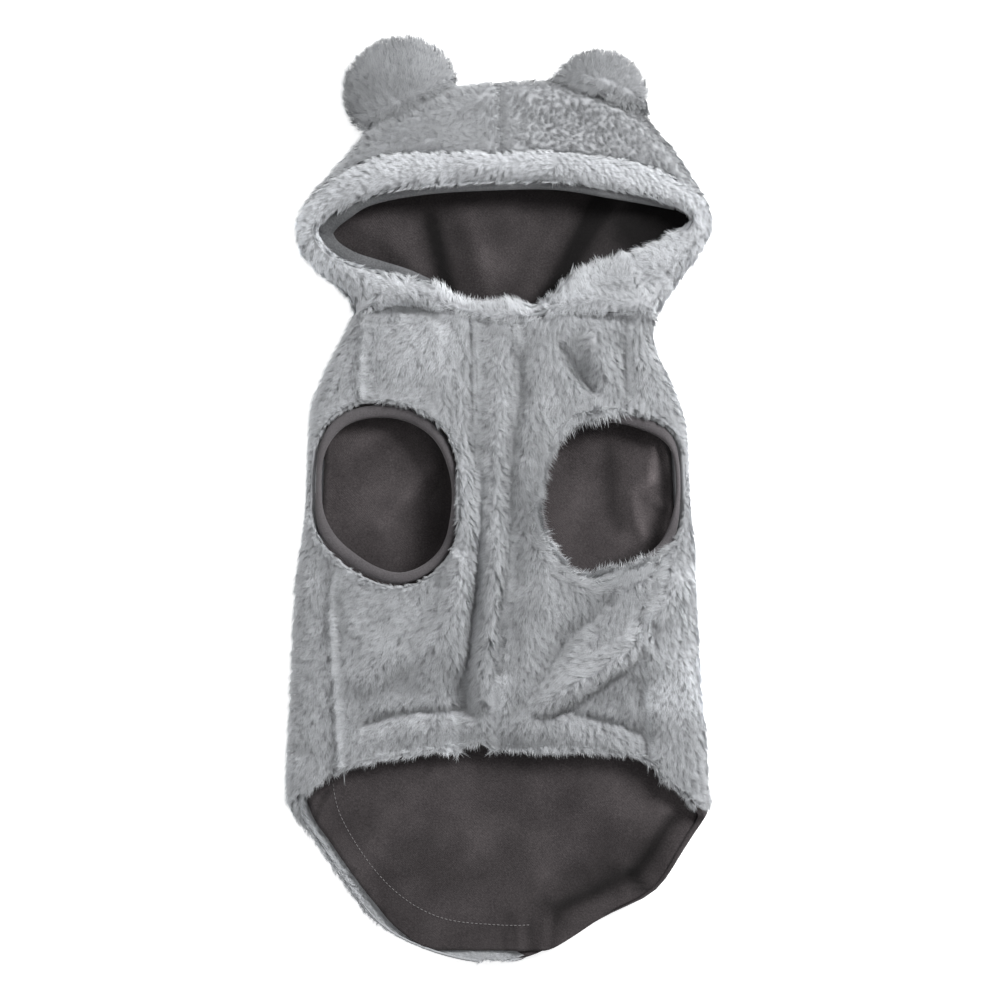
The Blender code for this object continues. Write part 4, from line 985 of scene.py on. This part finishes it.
# %% Tuft
TUFT_BLADES = 9
TUFT_SPREAD = 1.5  # of its roots, in mm
BLADE_WIDTH = 0.3
GATHER = 0.8  # how far apart the tips stay, as a share of their roots' distance


def make_tuft():
    rng = np.random.default_rng(7)
    build = bmesh.new()
    strand = build.loops.layers.uv.new("strand")
    along = build.verts.layers.float.new("along")
    for i in range(TUFT_BLADES):
        turn = 2 * math.pi * i * 0.382 + rng.uniform(-0.3, 0.3)
        reach = TUFT_SPREAD * math.sqrt((i + 0.5) / TUFT_BLADES)
        root = Vector((math.cos(turn) * reach, math.sin(turn) * reach, 0))
        long = rng.uniform(0.75, 1.15)
        middle = root * 0.9 + Vector((rng.uniform(-0.35, 0.35), 1.2 * long, 1.75 * long))
        tip = root * GATHER + Vector((rng.uniform(-0.9, 0.9), 3.5 * long,
                                      2.8 * long + rng.uniform(-0.5, 0.5)))
        side = Vector((math.cos(turn + 1.2), 0.35 * math.sin(turn), 0.3)).normalized() * BLADE_WIDTH / 2
        spots = [(root, 0.0), (middle - side, 0.45), (middle + side, 0.45), (tip, 1.0)]
        vertices = []
        for spot, share in spots:
            vertex = build.verts.new(spot * MM)
            vertex[along] = share
            vertices.append(vertex)
        left, right = i / TUFT_BLADES, (i + 0.9) / TUFT_BLADES
        places = [((left + right) / 2, 0), (left, 0.45), (right, 0.45), ((left + right) / 2, 1)]
        for corners in ((0, 2, 1), (1, 2, 3)):
            a, b, c = (spots[k][0] for k in corners)
            if (b - a).cross(c - a).z < 0:
                corners = corners[::-1]
            face = build.faces.new([vertices[k] for k in corners])
            for loop, k in zip(face.loops, corners):
                loop[strand].uv = places[k]
    mesh = bpy.data.meshes.new("tuft")
    build.to_mesh(mesh)
    build.free()
    return bpy.data.objects.new("tuft", mesh)


tuft = make_tuft()
print(f"One tuft has {len(tuft.data.polygons)} triangles")


# %% [markdown]
# ## Pile as a node tree
#
# Tufts are scattered over the cloth's right side. Each one stands on the cloth, leans and turns its bend
# along the nap, and wanders with three noises: a broad one, as a hand has brushed the plush, and two finer
# ones that gather neighbouring tufts into locks. Each tuft gets its own cell in a map, so an exported
# picture of the pile has a place for each one. Nothing goes below the surface that the coat lies on.


# %% Pile tree
CELL_FILL = 0.94  # a tuft's share of its cell, so neighbours on the map stay apart
FLOOR_GAP = 0.1 * MM


def wander(tree, size, strength, detail=1.0):
    """A vector that drifts from place to place, with swings of a size, and favours no direction."""
    cloud = add(tree, "ShaderNodeTexNoise", {"Scale": 1 // size, "Detail": detail}).outputs["Color"]
    centred = add(tree, "ShaderNodeVectorMath", {0: cloud, 1: (0.5, 0.5, 0.5)}, operation="SUBTRACT")
    return add(tree, "ShaderNodeVectorMath", {0: centred, "Scale": strength}, operation="SCALE")


def standing(tree, given, stored):
    """Tufts on points that are scattered over the cloth, turned along its nap."""
    density = add(tree, "ShaderNodeMath", {0: stored["pile"], 1: given["Density"]}, operation="MULTIPLY")
    scatter = add(tree, "GeometryNodeDistributePointsOnFaces",
                  {"Mesh": given["Cloth"], "Density": density, "Seed": given["Seed"]},
                  distribute_method="RANDOM")
    roots = add(tree, "GeometryNodeStoreNamedAttribute",
                {"Geometry": scatter.outputs["Points"], "Name": "up", "Value": scatter.outputs["Normal"]},
                data_type="FLOAT_VECTOR", domain="POINT")
    brushed = wander(tree, 29 * MM, 1.7)
    locks = wander(tree, 7.1 * MM, 1.5, 2.0)
    fine = wander(tree, 4.75 * MM, 0.5)
    flow = add(tree, "ShaderNodeVectorMath", {0: stored["nap"], 1: brushed}, operation="ADD")
    flow = add(tree, "ShaderNodeVectorMath", {0: flow, 1: locks}, operation="ADD")
    ahead = add(tree, "ShaderNodeVectorMath", {0: flow}, operation="NORMALIZE")
    ahead = add(tree, "ShaderNodeVectorMath", {0: ahead, "Scale": given["Lay"]}, operation="SCALE")
    up = add(tree, "ShaderNodeVectorMath", {0: stored["up"], 1: fine}, operation="ADD")
    up = add(tree, "ShaderNodeVectorMath", {0: up, 1: ahead}, operation="ADD")
    turned = add(tree, "FunctionNodeAxesToRotation", {0: up, 1: flow}, primary_axis="Z", secondary_axis="Y")
    size = add(tree, "FunctionNodeRandomValue", {"Min": 0.75, "Max": 1.2, "Seed": 3}, data_type="FLOAT")
    size = add(tree, "ShaderNodeMath", {0: size, 1: given["Length"]}, operation="MULTIPLY")
    size = add(tree, "ShaderNodeMath", {0: size, 1: stored["length"]}, operation="MULTIPLY")
    model = add(tree, "GeometryNodeObjectInfo", {"Object": given["Tuft"]}, transform_space="ORIGINAL")
    return add(tree, "GeometryNodeInstanceOnPoints",
               {"Points": roots, "Instance": model.outputs["Geometry"], "Rotation": turned, "Scale": size})


def celled_and_toned(tree, tufts, stored):
    """The tufts with a cell each in a square, a grey each times painted light and shade, and the square's
    width.
    """
    total = add(tree, "GeometryNodeAttributeDomainSize", {"Geometry": tufts}, component="INSTANCES")
    side = add(tree, "ShaderNodeMath", {0: total.outputs["Instance Count"]}, operation="SQRT")
    side = add(tree, "ShaderNodeMath", {0: side}, operation="CEIL")
    index = add(tree, "GeometryNodeInputIndex")
    column = add(tree, "ShaderNodeMath", {0: index, 1: side}, operation="MODULO")
    row = add(tree, "ShaderNodeMath", {0: index, 1: side}, operation="DIVIDE")
    row = add(tree, "ShaderNodeMath", {0: row}, operation="FLOOR")
    cell = add(tree, "ShaderNodeCombineXYZ", {"X": column, "Y": row})
    celled = add(tree, "GeometryNodeStoreNamedAttribute", {"Geometry": tufts, "Name": "cell", "Value": cell},
                 data_type="FLOAT_VECTOR", domain="INSTANCE")
    tone = add(tree, "FunctionNodeRandomValue", {"Min": 0.89, "Max": 1.1, "Seed": 11}, data_type="FLOAT")
    # The tuft's random grey times the painted light and shade stored on the cloth's points
    tone = add(tree, "ShaderNodeMath", {0: tone, 1: stored["tint"]}, operation="MULTIPLY")
    toned = add(tree, "GeometryNodeStoreNamedAttribute", {"Geometry": celled, "Name": "tone", "Value": tone},
                data_type="FLOAT", domain="INSTANCE")
    return toned, side


def pile_tree():
    """Pile on a cloth, as one mesh with a map."""
    tree, given = geometry_tree("Plush pile", "Pile", Cloth="Geometry", Tuft="Object", Density="Float",
                                Length="Float", Lay="Float", Seed="Int", Fibre="Material")
    kinds = {"pile": "FLOAT", "length": "FLOAT", "tint": "FLOAT", "nap": "FLOAT_VECTOR", "up": "FLOAT_VECTOR",
             "strand": "FLOAT_VECTOR", "cell": "FLOAT_VECTOR"}
    stored = {name: add(tree, "GeometryNodeInputNamedAttribute", {"Name": name}, data_type=kind)
              for name, kind in kinds.items()}
    tufts, side = celled_and_toned(tree, standing(tree, given, stored), stored)
    real = add(tree, "GeometryNodeRealizeInstances", {"Geometry": tufts})
    place = add(tree, "ShaderNodeVectorMath", {0: stored["strand"], "Scale": CELL_FILL}, operation="SCALE")
    place = add(tree, "ShaderNodeVectorMath", {0: place, 1: stored["cell"]}, operation="ADD")
    share = add(tree, "ShaderNodeMath", {0: 1.0, 1: side}, operation="DIVIDE")
    place = add(tree, "ShaderNodeVectorMath", {0: place, "Scale": share}, operation="SCALE")
    mapped = add(tree, "GeometryNodeStoreNamedAttribute",
                 {"Geometry": real, "Name": "OFBake", "Value": place}, data_type="FLOAT2", domain="CORNER")
    spot = add(tree, "ShaderNodeSeparateXYZ", {0: add(tree, "GeometryNodeInputPosition")})
    height = add(tree, "ShaderNodeMath", {0: spot.outputs["Z"], 1: FLOOR_GAP}, operation="MAXIMUM")
    lifted = add(tree, "ShaderNodeCombineXYZ", {"X": spot.outputs["X"], "Y": spot.outputs["Y"], "Z": height})
    settled = add(tree, "GeometryNodeSetPosition", {"Geometry": mapped, "Position": lifted})
    finished = add(tree, "GeometryNodeSetMaterial", {"Geometry": settled, "Material": given["Fibre"]})
    add(tree, "NodeGroupOutput", {"Pile": finished})
    return tree


PILE_TREE = pile_tree()
print("The pile's tree has", len(PILE_TREE.nodes), "nodes")


# %% [markdown]
# ## Growing the pile
#
# The tree runs on a copy of each plush piece, once for what is seen and once for the pressed pile under the
# coat, and gives plain meshes. A blade lit on its own would be a hard white or black fleck. In real pile,
# light spreads from fibre to fibre, so the blades' shading is turned most of the way towards the cloth's.


# %% Pile
TUFTS_PER_M2 = 378_000
LAY = {"hood_brim": 0.36, "ear_left": 0.25, "ear_right": 0.25, "hood_left": 0.28, "hood_right": 0.28}
BODY_LAY = 0.2  # how far a tuft leans along the nap before it bends
CLOTH_SHADING = 0.8
FEWEST_TRIANGLES = 1000  # a piece of pile with fewer isn't worth keeping


def lean_normals(mesh):
    """Turns the blades' shading towards the cloth's, since light spreads from fibre to fibre in real pile."""
    up = np.empty(len(mesh.vertices) * 3, dtype=np.float32)
    own = np.empty_like(up)
    mesh.attributes["up"].data.foreach_get("vector", up)
    mesh.vertex_normals.foreach_get("vector", own)
    mixed = (CLOTH_SHADING * up + (1 - CLOTH_SHADING) * own).reshape(-1, 3)
    mesh.normals_split_custom_set_from_vertices(mixed / np.linalg.norm(mixed, axis=1, keepdims=True))


def grow(piece, name, part, seed, lay):
    """Pile on the part of a piece that is above or below, as a plain mesh."""
    pile = placed(name, piece.data.copy())
    share = pile.data.attributes["pile"].data
    for face in pile.data.polygons:
        if is_underside(face.center, face.normal) != (part == "below"):
            share[face.index].value = 0.0
    run_tree(pile, PILE_TREE, Tuft=tuft, Density=float(TUFTS_PER_M2), Length=1.0, Lay=lay, Seed=seed,
             Fibre=PILE)
    if len(pile.data.vertices):
        lean_normals(pile.data)
    for leftover in ("cell", "up", "nap", "pile", "length", "tint"):
        if leftover in pile.data.attributes:
            pile.data.attributes.remove(pile.data.attributes[leftover])
    return pile


pile_triangles = 0
for seed, (node, piece) in enumerate(cloths.items()):
    for part, ending in (("above", ""), ("below", "_below")):
        lay = LAY.get(node, BODY_LAY)
        pile = grow(piece, f"pile_{node}{ending}", part, 10 * seed + (part == "below"), lay)
        if len(pile.data.polygons) < FEWEST_TRIANGLES:
            bpy.data.objects.remove(pile)
            continue
        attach(pile, "root")
        print(f"{pile.name}: {len(pile.data.polygons)} triangles")
        pile_triangles += len(pile.data.polygons)
print("Pile in all:", pile_triangles, "triangles")


# %% [markdown]
# ## Floor and light
#
# The coat was photographed on plain white with next to no shadow, as on a light table. So the floor glows a
# little, a large lamp stands at the upper right, a weaker one at the left, and a white tent fills in,
# brighter near its rim than overhead.


# %% Floor and light
def area_light(name, spot, size, power):
    """A square lamp that points at the coat's middle."""
    light = bpy.data.lights.new(name, "AREA")
    light.energy = power
    light.size = size
    lamp = placed(name, light)
    lamp.location = spot
    lamp.rotation_euler = (-Vector(spot)).to_track_quat("-Z", "Y").to_euler()


def make_floor():
    """A wide white sheet just under the coat, with a grain too faint to see."""
    build = bmesh.new()
    bmesh.ops.create_grid(build, x_segments=1, y_segments=1, size=3.0)
    mesh = bpy.data.meshes.new("floor")
    build.to_mesh(mesh)
    build.free()
    material, tree, shader = new_material("Floor, white light table")
    point = add(tree, "ShaderNodeTexCoord").outputs["Object"]
    grain = add(tree, "ShaderNodeTexNoise", {"Vector": point, "Scale": 1 // (3.33 * MM), "Detail": 2})
    color = add(tree, "ShaderNodeValToRGB", {"Fac": grain}, [(0.3, "f4f4f4"), (0.7, "f8f8f8")])
    connect(tree, shader, {"Base Color": color, "Roughness": 0.9, "Emission Color": (1, 1, 1, 1),
                           "Emission Strength": 0.6})
    mesh.materials.append(material)
    floor = placed("floor", mesh)
    floor.location.z = -0.3 * MM


make_floor()
area_light("Key light from the upper right", (1.0, 0.75, 1.0), 0.6, 34)
area_light("Fill from the left", (-1.3, 0.3, 0.9), 1.2, 5)
world = bpy.data.worlds.new("Studio")
bpy.context.scene.world = world
world.use_nodes = True
sky = world.node_tree
direction = add(sky, "ShaderNodeTexCoord").outputs["Generated"]
height = add(sky, "ShaderNodeSeparateXYZ", {0: direction}).outputs["Z"]
limits = {"From Min": 0.0, "From Max": 0.7, "To Min": 1.0, "To Max": 0.33}
tent = add(sky, "ShaderNodeMapRange", {"Value": height, **limits})
connect(sky, sky.nodes["Background"], {"Strength": tent, "Color": (1, 1, 1, 1)})
bpy.context.scene.view_settings.view_transform = "Standard"
print("Lamps:", ", ".join(light.name for light in bpy.data.lights))


# %% [markdown]
# ## Camera
#
# The camera looks straight down and keeps the photograph's frame, 600 mm across the square picture at the
# height of the coat's widest outline. Its place follows from the lens: a picture as wide as the frame at a
# distance of frame × lens / sensor.


# %% Camera
FRAME_WIDTH = 600 * MM
LENS, SENSOR = 100.0, 36.0
OUTLINE_HEIGHT = 11 * MM
camera_data = bpy.data.cameras.new("camera")
camera_data.lens = LENS
camera_data.sensor_width = SENSOR
camera_data.sensor_fit = "HORIZONTAL"
camera = placed("camera", camera_data)
camera.location = (0.2 * MM, 0.3 * MM, FRAME_WIDTH * LENS / SENSOR + OUTLINE_HEIGHT)
bpy.context.scene.camera = camera
print(f"The camera is {camera.location.z:.2f} m over the floor")


# %% [markdown]
# ## Sizes of the cloths
#
# A pattern cutter would know each piece by its flat size. The ears are the only padded pieces, and they are
# left out. For each other cloth, half of its closed wall's surface, since a cut piece has two sides, and its
# mean thickness are worked out. Then the triangles of all meshes are counted and printed.


def measures(piece):
    """Half of a closed wall's surface, and its mean thickness."""
    build = bmesh.new()
    build.from_mesh(piece.data)
    area = sum(face.calc_area() for face in build.faces)
    volume = abs(build.calc_volume(signed=True))
    build.free()
    return area / 2, 2 * volume / area


for piece in [*cloths.values(), lining_back, lining_hood, *tapes, facing]:
    if piece.name.startswith("cloth_ear"):
        continue
    area, thick = measures(piece)
everything = [piece for piece in bpy.context.scene.objects if piece.type == "MESH"]
triangles = sum(len(face.vertices) - 2 for piece in everything for face in piece.data.polygons)
print("Triangles in all:", triangles)
